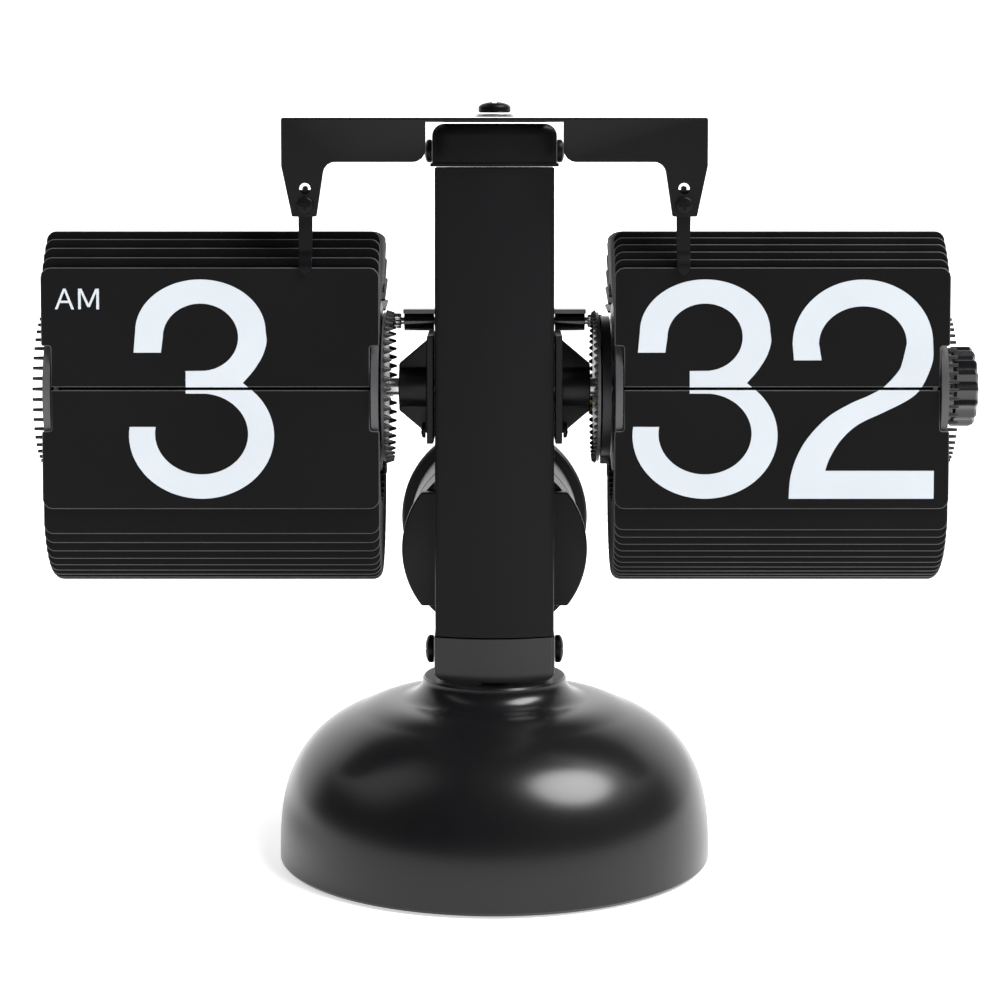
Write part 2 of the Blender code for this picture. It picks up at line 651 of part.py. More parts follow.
def make_drums():
    outer, inner = HOUR_SPAN[0] + 0.3 * MM, HOUR_SPAN[1] - 0.3 * MM
    make_disc("hour_outer_disc", (outer, outer + DISC_THICKNESS), HOUR_LEAVES, HOUR_SPAN[0] - PIN_TIP)
    make_disc("hour_inner_disc", (inner - DISC_THICKNESS, inner), 0, 0)
    hub = (outer + DISC_THICKNESS + GAP, inner - DISC_THICKNESS - GAP)
    tube("hour_hub", BORE_RADIUS, HUB_RADIUS, hub, (0, 0, AXLE_Z), "X", "matte_black", 20)

    inner, outer = MINUTE_SPAN[0] + 0.3 * MM, MINUTE_SPAN[1] - 0.3 * MM
    make_disc("minute_inner_disc", (inner, inner + DISC_THICKNESS), 0, 0)
    make_disc("minute_outer_disc", (outer - DISC_THICKNESS, outer), MINUTE_LEAVES, MINUTE_SPAN[1] + PIN_TIP)
    hub = (inner + DISC_THICKNESS + GAP, outer - DISC_THICKNESS - GAP)
    tube("minute_hub", BORE_RADIUS, HUB_RADIUS, hub, (0, 0, AXLE_Z), "X", "matte_black", 20)

    rod("main_axle", (AXLE_SPAN[0], 0, AXLE_Z), (AXLE_SPAN[1], 0, AXLE_Z), AXLE_RADIUS, "steel")
    gap_phase = math.pi / HOUR_LEAVES
    make_gear("hour_gear", HOUR_LEAVES, HOUR_GEAR_SPAN, TRANSFER_ANGLE + gap_phase, "grey_plastic")
    gap_phase = math.pi / MINUTE_LEAVES
    make_gear("minute_drive_gear", MINUTE_LEAVES, DRIVE_GEAR_SPAN, DRIVE_ANGLE + gap_phase, "grey_plastic")

    flank = ((GEAR_ROOT, -0.04), (GEAR_OUTER, -0.012), (GEAR_OUTER, 0.012), (GEAR_ROOT, 0.04))
    teeth = [
        (radius * math.cos(turn + offset), AXLE_Z + radius * math.sin(turn + offset))
        for turn in TRANSFER_TOOTH_ANGLES for radius, offset in flank
    ]
    plain_rim = arc((0, AXLE_Z), GEAR_ROOT, math.radians(-82), math.radians(250), 40)
    plate("minute_transfer_wheel", [teeth + plain_rim, ring(BORE_RADIUS, 20)], "YZ", TRANSFER_WHEEL_SPAN,
          "grey_plastic")


def make_knob():
    steps = KNOB_FLUTES * 4
    outline = []
    for step in range(steps):
        turn = math.tau * step / steps
        radius = KNOB_RADIUS - FLUTE_DEPTH / 2 * (1 - math.cos(KNOB_FLUTES * turn))
        outline.append((radius * math.cos(turn), AXLE_Z + radius * math.sin(turn)))
    plate("minute_knob", [outline, ring(KNOB_SCREW_RADIUS + GAP, 12)], "YZ", KNOB_SPAN, "matte_black")
    rod("knob_screw", (KNOB_SPAN[0], 0, AXLE_Z), (KNOB_SPAN[1] - 0.4 * MM, 0, AXLE_Z),
        KNOB_SCREW_RADIUS, "steel", 12)


def make_gussets():
    inner, outer = FLANGE_SPAN
    for side, word in ((-1, "left"), (1, "right")):
        root, tip = side * (inner + GAP), side * SLEEVE_SPAN[1]
        low, high = AXLE_Z - FLANGE_HALF_HEIGHT, AXLE_Z + FLANGE_HALF_HEIGHT
        web_outline = [
            (root, low + GAP), (tip, AXLE_Z - 5 * MM), (tip, AXLE_Z + 5 * MM), (root, high - GAP)]
        web = plate(f"{word}_gusset", [web_outline], "XZ", (-1.2 * MM, 1.2 * MM), "matte_black")
        faces = sorted((side * inner, side * outer))
        flange = box(f"{word}_flange", (faces[0], -8 * MM, low), (faces[1], 8 * MM, high), "matte_black")
        sleeve = rod(f"{word}_sleeve", (side * SLEEVE_SPAN[0], 0, AXLE_Z), (tip, 0, AXLE_Z), SLEEVE_RADIUS,
                     "matte_black", 24)
        bore = rod(f"{word}_bore", (side * 10 * MM, 0, AXLE_Z), (side * 25 * MM, 0, AXLE_Z),
                   BORE_RADIUS, "steel")
        gusset = combine(web, [flange, sleeve], "UNION")
        combine(gusset, [bore], "DIFFERENCE")
        axis = "X" if side > 0 else "-X"
        screw(f"{word}_gusset_screw", (side * outer, -5.2 * MM, AXLE_Z - 8.8 * MM), axis,
              1.7 * MM, 1.3 * MM, 0.8 * MM, 0.0, "steel")


def make_axle_passage():
    """Cuts the axle's clearance through the column's two side walls."""
    passage = rod("axle_passage", (-20 * MM, 0, AXLE_Z), (20 * MM, 0, AXLE_Z), AXLE_PASSAGE_RADIUS, "steel")
    combine(bpy.data.objects["column_tube"], [passage], "DIFFERENCE")


def make_transfer():
    """The rod that carries motion from the minute drum to the hour drum, in two sleeves on a plate."""
    rod_y, rod_z = on_circle(TRANSFER_DISTANCE, TRANSFER_ANGLE)
    behind = COLUMN_BACK + GAP
    shelf = box("rod_bracket", (-20 * MM, behind, rod_z + 1.7 * MM), (20 * MM, 16 * MM, rod_z + 2.7 * MM),
                "matte_black")
    sleeves = [
        rod(f"rod_sleeve_{word}", (side * 13.2 * MM, rod_y, rod_z), (side * 19.8 * MM, rod_y, rod_z),
            ROD_SLEEVE_RADIUS, "matte_black", 20)
        for side, word in ((-1, "left"), (1, "right"))
    ]
    bore = rod("rod_bore", (-30 * MM, rod_y, rod_z), (30 * MM, rod_y, rod_z), ROD_RADIUS + GAP, "steel")
    shelf = combine(shelf, sleeves, "UNION")
    combine(shelf, [bore], "DIFFERENCE")

    rod("transfer_rod", (ROD_SPAN[0], rod_y, rod_z), (ROD_SPAN[1], rod_y, rod_z), ROD_RADIUS, "steel", 12)
    for word, span in (("left", LEFT_PINION_SPAN), ("right", RIGHT_PINION_SPAN)):
        outline = toothed((rod_y, rod_z), TRANSFER_PINION_TEETH, 1.4 * MM, 2.55 * MM,
                          TRANSFER_ANGLE + math.pi, 0.5, 0.16)
        hole = ring(ROD_RADIUS + PINION_PLAY, 12, (rod_y, rod_z))
        plate(f"{word}_transfer_pinion", [outline, hole], "YZ", span, "steel")


def make_drive():
    """The geared motor behind the column, with the pinion that turns the minute drum."""
    shaft_y, shaft_z = on_circle(DRIVE_DISTANCE, DRIVE_ANGLE)
    behind = COLUMN_BACK + GAP
    tube("motor_can", DRIVE_SHAFT_RADIUS + GAP, MOTOR_RADIUS, (-MOTOR_HALF_LENGTH, MOTOR_HALF_LENGTH),
         (0, shaft_y, shaft_z), "X", "steel", 28)
    box("motor_plate", (-11 * MM, behind, shaft_z - 9 * MM), (11 * MM, behind + 1.2 * MM, shaft_z + 8 * MM),
        "black_metal")
    rod("drive_shaft", (-9 * MM, shaft_y, shaft_z), (22.4 * MM, shaft_y, shaft_z),
        DRIVE_SHAFT_RADIUS, "steel", 12)
    tube("drive_bush", DRIVE_SHAFT_RADIUS + GAP, 2.4 * MM, (13.2 * MM, 19.8 * MM), (0, shaft_y, shaft_z),
         "X", "brass", 16)
    outline = toothed((shaft_y, shaft_z), DRIVE_PINION_TEETH, 2.0 * MM, 3.2 * MM,
                      DRIVE_ANGLE + math.pi, 0.5, 0.12)
    hole = ring(DRIVE_SHAFT_RADIUS + PINION_PLAY, 12, (shaft_y, shaft_z))
    plate("drive_pinion", [outline, hole], "YZ", DRIVE_GEAR_SPAN, "brass")


def make_battery_housing():
    centre = (0, CASE_Z)
    middle = (0, 0, CASE_Z)
    front, back = CASE_SPAN
    reach = math.asin(FACE_FLAT / FACE_RADIUS)
    outline = arc(centre, FACE_RADIUS, -reach, reach, 12) + arc(
        centre, FACE_RADIUS, math.pi - reach, math.pi + reach, 12)
    case = tube("movement_case", CELL_RADIUS, CAN_RADIUS, (front + CASE_WALL, back), middle, "Y",
                "matte_black", 36)
    face = plate("case_face", [outline], "XZ", (front, front + FACE_THICKNESS), "matte_black")
    combine(case, [face], "UNION")
    cover = (back + GAP, back + GAP + CASE_WALL)
    tube("movement_cover", 2.0 * MM, CAN_RADIUS, cover, middle, "Y", "matte_black", 36)
    box("circuit_board", (-12 * MM, front + 3.5 * MM, CASE_Z - 9.5 * MM),
        (12 * MM, front + 5.1 * MM, CASE_Z + 9.5 * MM), "board")

    tube_end = RING_SPAN[0] - GAP
    tube("battery_tube", CELL_RADIUS, CAN_RADIUS, (cover[1] + GAP, tube_end), middle, "Y", "matte_black", 36)
    tube("battery_ring", RING_INNER, RING_OUTER, RING_SPAN, middle, "Y", "matte_black", 36)

    curve = bpy.data.curves.new("contact_spring", "CURVE")
    curve.dimensions = "3D"
    curve.bevel_depth = 0.4 * MM
    curve.bevel_resolution = 1
    curve.use_fill_caps = True
    turns, per_turn = 4, 10
    spline = curve.splines.new("POLY")
    spline.points.add(turns * per_turn)
    for step, point in enumerate(spline.points):
        share = step / (turns * per_turn)
        turn = math.tau * step / per_turn
        radius = SPRING_RADII[0] + (SPRING_RADII[1] - SPRING_RADII[0]) * share
        reach = cover[1] + 0.8 * MM + SPRING_REACH * share
        point.co = (radius * math.cos(turn), reach, CASE_Z + radius * math.sin(turn), 1)
    add_object("contact_spring", curve, "steel")
    box("contact_plate", (-4 * MM, tube_end - 1.0 * MM, CASE_Z - CELL_RADIUS + 0.8 * MM),
        (4 * MM, tube_end - 0.5 * MM, CASE_Z - 12.5 * MM), "brass")


def hang_on_axis(name, place, pieces):
    """Parents a moving group to an empty on its joint's axis, each piece staying where it is."""
    axis = bpy.data.objects.new(name, None)
    axis.location = place
    bpy.data.collections["flip_number_clock"].objects.link(axis)
    bpy.context.view_layer.update()
    for piece in pieces:
        moving = bpy.data.objects[piece]
        moving.parent = axis
        moving.matrix_parent_inverse = axis.matrix_world.inverted()


def make_axes():
    """The axes of the six joints, all along X."""
    axle = (0, 0, AXLE_Z)
    hinge = (0, LEAF_HINGE_Y, LEAF_SPLIT_Z)
    hang_on_axis("minute_drum_axis", axle, [
        "main_axle", "minute_inner_disc", "minute_outer_disc", "minute_hub", "minute_drive_gear",
        "minute_transfer_wheel", "minute_knob", "knob_screw"])
    hang_on_axis("hour_drum_axis", axle, ["hour_outer_disc", "hour_inner_disc", "hour_hub", "hour_gear"])
    hang_on_axis("transfer_axis", (0, *on_circle(TRANSFER_DISTANCE, TRANSFER_ANGLE)), [
        "transfer_rod", "left_transfer_pinion", "right_transfer_pinion"])
    hang_on_axis("drive_axis", (0, *on_circle(DRIVE_DISTANCE, DRIVE_ANGLE)), ["drive_shaft", "drive_pinion"])
    hang_on_axis("minute_leaf_axis", hinge, ["minute_top_leaf"])
    hang_on_axis("hour_leaf_axis", hinge, ["hour_top_leaf"])


def main():
    clear_scene()
    new_collection("flip_number_clock")
    new_collection("cutters")
    make_base()
    make_column()
    make_axle_passage()
    make_bracket()
    make_fingers()
    make_leaves("hour", HOUR_SPAN, HOUR_LEAVES)
    make_leaves("minute", MINUTE_SPAN, MINUTE_LEAVES)
    make_drums()
    make_knob()
    make_gussets()
    make_transfer()
    make_drive()
    make_battery_housing()
    make_axes()


main()
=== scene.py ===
import json
import math

import bmesh
import bpy
from mathutils import Matrix, Vector

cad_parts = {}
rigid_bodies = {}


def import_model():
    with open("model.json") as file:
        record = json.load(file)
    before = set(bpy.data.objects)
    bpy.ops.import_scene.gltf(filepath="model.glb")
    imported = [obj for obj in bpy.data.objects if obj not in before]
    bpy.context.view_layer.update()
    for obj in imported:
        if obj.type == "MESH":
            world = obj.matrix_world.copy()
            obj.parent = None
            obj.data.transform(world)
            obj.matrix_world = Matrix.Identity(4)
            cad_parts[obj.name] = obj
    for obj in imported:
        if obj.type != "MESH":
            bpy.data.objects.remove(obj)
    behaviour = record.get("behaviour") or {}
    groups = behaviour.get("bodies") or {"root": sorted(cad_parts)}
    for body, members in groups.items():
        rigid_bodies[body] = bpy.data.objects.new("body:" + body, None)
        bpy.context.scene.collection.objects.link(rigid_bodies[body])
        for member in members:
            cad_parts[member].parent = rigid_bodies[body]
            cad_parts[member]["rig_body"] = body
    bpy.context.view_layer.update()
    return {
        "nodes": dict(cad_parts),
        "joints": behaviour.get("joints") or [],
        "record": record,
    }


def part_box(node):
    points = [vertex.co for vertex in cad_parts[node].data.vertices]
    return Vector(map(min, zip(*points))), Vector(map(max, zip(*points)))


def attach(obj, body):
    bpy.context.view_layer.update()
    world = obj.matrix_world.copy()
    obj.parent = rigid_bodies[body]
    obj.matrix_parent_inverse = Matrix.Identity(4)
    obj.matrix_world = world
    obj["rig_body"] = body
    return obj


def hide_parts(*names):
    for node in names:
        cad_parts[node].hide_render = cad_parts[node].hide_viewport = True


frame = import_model()

MM = 0.001
STAND, HOUR, MINUTE = "stand", "hour_drum", "minute_drum"
JOINTS = {joint["name"]: joint for joint in frame["joints"]}
AXLE_Z = JOINTS["minute_spin"]["pos_m"][2]
HINGE_Y, SPLIT_Z = JOINTS["minute_leaf_flip"]["pos_m"][1:]
CAMERA_DISTANCE = 549.5 * MM
CAMERA_HEIGHT = 156.2 * MM
CAMERA_TILT = math.radians(3.66)
LENS = 92.3
SHIFT_X, SHIFT_Y = 0.0055, -0.20
SHARP_ANGLE = math.radians(32)
MERGE_DISTANCE = 0.001 * MM
FLAT_ANGLE = math.radians(1)

BACKDROP = 1.6
SIDES = 1.1
ROOM = 0.03
KEY_FROM = (0.55, -0.26, 0.79)
KEY_ANGLE = math.radians(36)
KEY_POWER = 5.6
FLOOR_GLOW = 0.60


# ---------------------------------------------------------------- materials

def surface(name, colour, other, roughness, metallic=0.0, grain=700.0, bump=0.05, spread=0.08,
            stretch=(1, 1, 1), coat=0.0, specular=0.5, patch=40.0):
    """A material with fine grain in its relief, and slow patches in its colour and roughness."""
    made = bpy.data.materials.new(name)
    made.use_nodes = True
    nodes, links = made.node_tree.nodes, made.node_tree.links
    shader = nodes["Principled BSDF"]
    shader.inputs["Metallic"].default_value = metallic
    shader.inputs["Coat Weight"].default_value = coat
    shader.inputs["Coat Roughness"].default_value = 0.04
    shader.inputs["Specular IOR Level"].default_value = specular
    place = nodes.new("ShaderNodeTexCoord")
    scaled = nodes.new("ShaderNodeMapping")
    scaled.inputs["Scale"].default_value = stretch
    links.new(place.outputs["Object"], scaled.inputs["Vector"])

    patches = nodes.new("ShaderNodeTexNoise")
    patches.inputs["Scale"].default_value = patch
    patches.inputs["Detail"].default_value = 4.0
    links.new(scaled.outputs["Vector"], patches.inputs["Vector"])
    ramp = nodes.new("ShaderNodeValToRGB")
    ramp.color_ramp.elements[0].position = 0.30
    ramp.color_ramp.elements[1].position = 0.70
    ramp.color_ramp.elements[0].color = (*colour, 1.0)
    ramp.color_ramp.elements[1].color = (*other, 1.0)
    links.new(patches.outputs["Fac"], ramp.inputs["Fac"])
    links.new(ramp.outputs["Color"], shader.inputs["Base Color"])

    fine = nodes.new("ShaderNodeTexNoise")
    fine.inputs["Scale"].default_value = grain
    fine.inputs["Detail"].default_value = 6.0
    links.new(scaled.outputs["Vector"], fine.inputs["Vector"])
    rough = nodes.new("ShaderNodeMapRange")
    rough.inputs["To Min"].default_value = max(roughness - spread, 0.02)
    rough.inputs["To Max"].default_value = roughness + spread
    links.new(patches.outputs["Fac"], rough.inputs["Value"])
    links.new(rough.outputs["Result"], shader.inputs["Roughness"])
    relief = nodes.new("ShaderNodeBump")
    relief.inputs["Strength"].default_value = bump
    relief.inputs["Distance"].default_value = 0.1 * MM
    links.new(fine.outputs["Fac"], relief.inputs["Height"])
    links.new(relief.outputs["Normal"], shader.inputs["Normal"])
    return made


def make_materials():
    """One material for each of the record's slots, and a variant wherever a piece looks unlike the rest; the
    leaves' lighter edge colour is a painted highlight.
    """
    return {
        "gloss_black": surface("gloss_black_plastic", (0.005, 0.005, 0.006), (0.007, 0.007, 0.007), 0.24,
                               grain=260, bump=0.02, spread=0.03, specular=0.32),
        "satin_black": surface("satin_black_anodised", (0.0028, 0.0028, 0.0036), (0.0048, 0.0048, 0.0056),
                               0.36, grain=900, bump=0.10, stretch=(1, 1, 0.06), specular=0.11),
        "black_metal": surface("black_painted_sheet", (0.0028, 0.0028, 0.0032), (0.0045, 0.0045, 0.0050),
                               0.30, grain=1500, bump=0.12, specular=0.15),
        "matte_black": surface("matte_black_plastic", (0.0035, 0.0035, 0.0040), (0.0065, 0.0065, 0.0070),
                               0.42, grain=2200, bump=0.22, specular=0.22),
        "leaf_black": surface("leaf_black_plastic", (0.0026, 0.0026, 0.0030), (0.0046, 0.0046, 0.0052), 0.40,
                              grain=1800, bump=0.06, patch=22, specular=0.08),
        # The leaves' cut edges get a much lighter colour than their faces: a painted highlight where the edges
        # would catch the light.
        "painted_edge_highlight": surface("cut_edge_painted_highlight", (0.040, 0.040, 0.042), (0.062, 0.062, 0.064), 0.50,
                             grain=1800, bump=0.10, patch=90, specular=0.30),
        "dark_tooth": surface("dark_tooth_plastic", (0.008, 0.008, 0.009), (0.014, 0.014, 0.015), 0.40,
                              grain=1600, bump=0.12, specular=0.30),
        "clamp_black": surface("satin_black_clamp", (0.014, 0.014, 0.015), (0.020, 0.020, 0.021), 0.34,
                               grain=900, bump=0.10, stretch=(1, 1, 0.06), specular=0.25),
        "pinion_steel": surface("bright_pinion_steel", (0.70, 0.70, 0.71), (0.82, 0.82, 0.82), 0.22,
                                metallic=1.0, grain=1200, bump=0.08, stretch=(0.2, 1, 1)),
        "knob_black": surface("polished_knob_black", (0.005, 0.005, 0.006), (0.009, 0.009, 0.010), 0.17,
                              grain=1500, bump=0.06, spread=0.03, specular=0.6),
        "grey_plastic": surface("dark_grey_plastic", (0.045, 0.045, 0.048), (0.062, 0.062, 0.066), 0.42,
                                grain=1600, bump=0.12),
        "steel": surface("plated_steel", (0.50, 0.50, 0.51), (0.62, 0.62, 0.62), 0.26, metallic=1.0,
                         grain=1200, bump=0.08, stretch=(0.2, 1, 1)),
        "brass": surface("turned_brass", (0.66, 0.46, 0.18), (0.76, 0.56, 0.26), 0.28, metallic=1.0,
                         grain=1200, bump=0.08, stretch=(0.2, 1, 1)),
        "iron": surface("cast_iron", (0.040, 0.040, 0.042), (0.075, 0.072, 0.070), 0.62, metallic=0.8,
                        grain=420, bump=0.55),
        "rubber": surface("soft_black_pad", (0.014, 0.014, 0.014), (0.024, 0.024, 0.024), 0.85,
                          grain=1400, bump=0.45),
        "board": surface("green_circuit_board", (0.010, 0.110, 0.040), (0.018, 0.150, 0.060), 0.40,
                         grain=900, bump=0.10),
        "number": surface("white_number_print", (0.52, 0.56, 0.60), (0.55, 0.59, 0.63), 0.50,
                          grain=2400, bump=0.10, patch=60),
    }


MATERIALS = make_materials()
SLOT_OF_NODE = {part["node"]: part["material_slot"] for part in frame["record"]["subparts"]}


# ---------------------------------------------------------------- piece builders


def place_piece(name, mesh, body, slot, replaced=()):
    """Adds a finished mesh as a piece of the object."""
    piece = bpy.data.objects.new(name, mesh)
    bpy.context.scene.collection.objects.link(piece)
    mesh.materials.clear()
    mesh.materials.append(MATERIALS[slot])
    mesh.shade_smooth()
    mesh.set_sharp_from_angle(angle=SHARP_ANGLE)
    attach(piece, body)
    if replaced:
        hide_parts(*replaced)
    return piece


def bevelled(piece, width, segments=2):
    rounding = piece.modifiers.new("edge_rounding", "BEVEL")
    rounding.width = width
    rounding.segments = segments
    rounding.limit_method = "ANGLE"
    rounding.angle_limit = SHARP_ANGLE
    rounding.harden_normals = True
    return piece


def mesh_from(bm, name):
    bmesh.ops.recalc_face_normals(bm, faces=bm.faces)
    mesh = bpy.data.meshes.new(name)
    bm.to_mesh(mesh)
    bm.free()
    return mesh


def refined(node, width, finish=None):
    """A copy of a CAD node whose facets are merged and whose edges are rounded."""
    bm = bmesh.new()
    bm.from_mesh(frame["nodes"][node].data)
    bmesh.ops.remove_doubles(bm, verts=bm.verts, dist=0.002 * MM)
    bmesh.ops.dissolve_limit(bm, angle_limit=FLAT_ANGLE, verts=bm.verts, edges=bm.edges)
    body = frame["nodes"][node]["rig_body"]
    piece = place_piece(f"{node}_finished", mesh_from(bm, node), body, finish or SLOT_OF_NODE[node], [node])
    return bevelled(piece, width)


def lathe(profile, steps=96):
    """A mesh of (radius, height) points turned about local Z."""
    bm = bmesh.new()
    chain = [bm.verts.new((radius, 0, height)) for radius, height in profile]
    edges = [bm.edges.new(pair) for pair in zip(chain, chain[1:])]
    bmesh.ops.spin(bm, geom=chain + edges, axis=(0, 0, 1), cent=(0, 0, 0), steps=steps,
                   angle=math.tau, use_merge=True)
    bmesh.ops.remove_doubles(bm, verts=bm.verts, dist=MERGE_DISTANCE)
    return bm


TURN = {
    "Z": Matrix.Identity(4),
    "X": Matrix.Rotation(math.pi / 2, 4, "Y"),
    "-X": Matrix.Rotation(-math.pi / 2, 4, "Y"),
    "Y": Matrix.Rotation(-math.pi / 2, 4, "X"),
    "-Y": Matrix.Rotation(math.pi / 2, 4, "X"),
}


def turned_piece(name, profile, place, axis, body, slot, replaced=(), steps=96):
    bm = lathe(profile, steps)
    bmesh.ops.transform(bm, matrix=Matrix.Translation(place) @ TURN[axis], verts=bm.verts)
    return place_piece(name, mesh_from(bm, name), body, slot, replaced)


def solid_outline(outline, plane, span, holes=()):
    """A bmesh of a flat outline, with holes, thickened over a span along its plane's normal."""
    curve = bpy.data.curves.new("outline", "CURVE")
    curve.dimensions = "2D"
    curve.fill_mode = "BOTH"
    curve.extrude = abs(span[1] - span[0]) / 2
    for points in (outline, *holes):
        spline = curve.splines.new("POLY")
        spline.points.add(len(points) - 1)
        for point, (across, up) in zip(spline.points, points):
            point.co = (across, up, 0, 1)
        spline.use_cyclic_u = True
    holder = bpy.data.objects.new("outline", curve)
    bpy.context.scene.collection.objects.link(holder)
    bpy.context.view_layer.update()
    mesh = bpy.data.meshes.new_from_object(holder.evaluated_get(bpy.context.evaluated_depsgraph_get()))
    bpy.data.objects.remove(holder)
    middle = (span[0] + span[1]) / 2
    turn = {
        "XY": Matrix.Translation((0, 0, middle)),
        "XZ": Matrix.Translation((0, middle, 0)) @ Matrix.Rotation(math.pi / 2, 4, "X"),
        "YZ": Matrix.Translation((middle, 0, 0)) @ Matrix.Rotation(math.pi / 2, 4, "Z")
        @ Matrix.Rotation(math.pi / 2, 4, "X"),
    }[plane]
    bm = bmesh.new()
    bm.from_mesh(mesh)
    bpy.data.meshes.remove(mesh)
    bmesh.ops.remove_doubles(bm, verts=bm.verts, dist=MERGE_DISTANCE)
    bmesh.ops.dissolve_limit(bm, angle_limit=FLAT_ANGLE, verts=bm.verts, edges=bm.edges)
    bmesh.ops.transform(bm, matrix=turn, verts=bm.verts)
    return bm


def outline_piece(name, outline, plane, span, body, slot, replaced=(), holes=(), edge=0.0):
    mesh = mesh_from(solid_outline(outline, plane, span, holes), name)
    piece = place_piece(name, mesh, body, slot, replaced)
    return bevelled(piece, edge) if edge else piece


def bridge(bm, loops):
    """Joins each closed loop of vertices to the next with a band of faces."""
    for first, second in zip(loops, loops[1:]):
        for index in range(len(first)):
            following = (index + 1) % len(first)
            bm.faces.new((first[index], first[following], second[following], second[index]))


def arc(centre, radius, start, end, steps):
    """Points along an arc, or along an ellipse's where radius is a pair. Angles are in degrees."""
    wide, high = radius if isinstance(radius, tuple) else (radius, radius)
    turns = [math.radians(start + (end - start) * step / steps) for step in range(steps + 1)]
    return [(centre[0] + wide * math.cos(turn), centre[1] + high * math.sin(turn)) for turn in turns]


def rounded(corners, steps=8):
    """An outline from (across, up, corner radius) triples."""
    points = []
    for index, (across, up, radius) in enumerate(corners):
        corner = Vector((across, up))
        if not radius:
            points.append((across, up))
            continue
        before = (Vector(corners[index - 1][:2]) - corner).normalized()
        after = (Vector(corners[(index + 1) % len(corners)][:2]) - corner).normalized()
        half = before.angle(after) / 2
        centre = corner + (before + after).normalized() * radius / math.sin(half)
        first = corner + before * radius / math.tan(half) - centre
        last = corner + after * radius / math.tan(half) - centre
        for step in range(steps + 1):
            points.append(tuple(centre + first.lerp(last, step / steps).normalized() * radius))
    return points


# ---------------------------------------------------------------- base

def make_base():
    """The bell, smooth all over, with the same rule as its CAD solid."""
    low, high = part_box("base_shell")
    radius, shoulder, fullness = high.x, 36.0 * MM, 3.0
    neck, fillet = 15.5 * MM, 5.4 * MM
    neck_top, chamfer = high.z - 0.8 * MM, 0.4 * MM
    crown = [(0.0, high.z - chamfer), (neck - chamfer, high.z - chamfer), (neck, neck_top)]
    fillet_drop = neck_top - (shoulder - 0.9 * MM)
    fillet_steps, bell_steps, blend_steps = 12, 60, 8
    for step in range(1, fillet_steps + 1):
        turn = math.radians(90 * step / fillet_steps)
        crown.append((neck + fillet * (1 - math.cos(turn)), neck_top - fillet_drop * math.sin(turn)))
    bell = []
    for step in range(bell_steps + 1):
        turn = math.radians(60) * (1 - step / bell_steps) ** 1.3
        bell.append((radius * math.cos(turn) ** (2 / fullness), shoulder * math.sin(turn) ** (2 / fullness)))
    start, end = Vector(crown[-1]), Vector(bell[0])
    blend = []
    for step in range(1, blend_steps):
        share = step / blend_steps
        lift = 0.5 * MM * math.sin(math.pi * share)
        blend.append((start.x + (end.x - start.x) * share, start.y + (end.y - start.y) * share + lift))
    foot = low.z
    bell = [point for point in bell if point[1] > foot + 0.7 * MM]
    rim = [(radius, foot + 0.6 * MM), (radius - 0.5 * MM, foot), (radius - 2.4 * MM, foot)]
    turned_piece("base_bell", crown + blend + bell + rim, (0, 0, 0), "Z", STAND, "gloss_black",
                 ["base_shell"], steps=200)
    for node in ("base_pad", "base_bolt", "base_weight"):
        refined(node, 0.3 * MM)


# ---------------------------------------------------------------- column, clamp and cap

def column_section(node, corner, inset=0.0):
    """The outline of a column part: flat sides and back, and a front with a shallow bow."""
    low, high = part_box(node)
    half = high.x - inset
    bow = 2.4 * MM
    front, back = low.y + bow + inset, high.y - inset
    radius = (half**2 + bow**2) / (2 * bow)
    spread = math.degrees(math.asin(half / radius))
    bowed = arc((0, front - bow + radius), radius, -90 - spread + 1.2, -90 + spread - 1.2, 24)
    sides = rounded([
        (half, front - 0.1 * MM, 0.6 * MM), (half, back, corner), (-half, back, corner),
        (-half, front - 0.1 * MM, 0.6 * MM),
    ], 5)
    return bowed + sides


def pillow(name, node, finish, high_corner, low_corner, low_z, high_z, rolls, inset=0.0):
    """A block over a column part, whose upper and lower ends round over at the sides."""
    outline = column_section(node, 1.4 * MM, inset)
    half = max(across for across, _ in outline)

    def roll(corner, end, way):
        turns = [math.pi / 2 * step / rolls for step in range(rolls + 1)] if corner else [0.0]
        return [(end - way * corner * (1 - math.cos(turn)), corner * (1 - math.sin(turn))) for turn in turns]

    levels = roll(low_corner, low_z, -1) + roll(high_corner, high_z, 1)[::-1]
    bm = bmesh.new()
    loops = []
    for z, pull in levels:
        share = (half - pull) / half
        depth_share = 1 - (1 - share) * 0.35
        loops.append([bm.verts.new((across * share, deep * depth_share, z)) for across, deep in outline])
    bridge(bm, loops)
    bm.faces.new(loops[0][::-1])
    bm.faces.new(loops[-1])
    return place_piece(name, mesh_from(bm, name), STAND, finish, [node])


def make_column():
    low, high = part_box("column_tube")
    outer = column_section("column_tube", 1.2 * MM)
    inner = column_section("column_tube", 0.6 * MM, 2.0 * MM)
    outline_piece("column_sleeve", outer, "XY", (low.z, high.z), STAND, "satin_black", ["column_tube"],
                  [inner], 0.15 * MM)
    clamp_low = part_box("lower_clamp")[0]
    collar = pillow("lower_clamp_collar", "lower_clamp", "clamp_black", 0.0, 2.4 * MM,
                    clamp_low.z, low.z - 0.3 * MM, 8)
    bevelled(collar, 0.3 * MM)
    cap_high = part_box("upper_cap")[1]
    skirt = high.z + 0.3 * MM
    cap = pillow("upper_cap_block", "upper_cap", "satin_black", 2.6 * MM, 0.0, skirt, cap_high.z, 8, 0.4 * MM)
    bevelled(cap, 0.6 * MM, 3)
    outline_piece("upper_cap_rim", column_section("upper_cap", 2.0 * MM), "XY",
                  (skirt, skirt + 0.75 * MM), STAND, "satin_black", edge=0.3 * MM)


# ---------------------------------------------------------------- screws

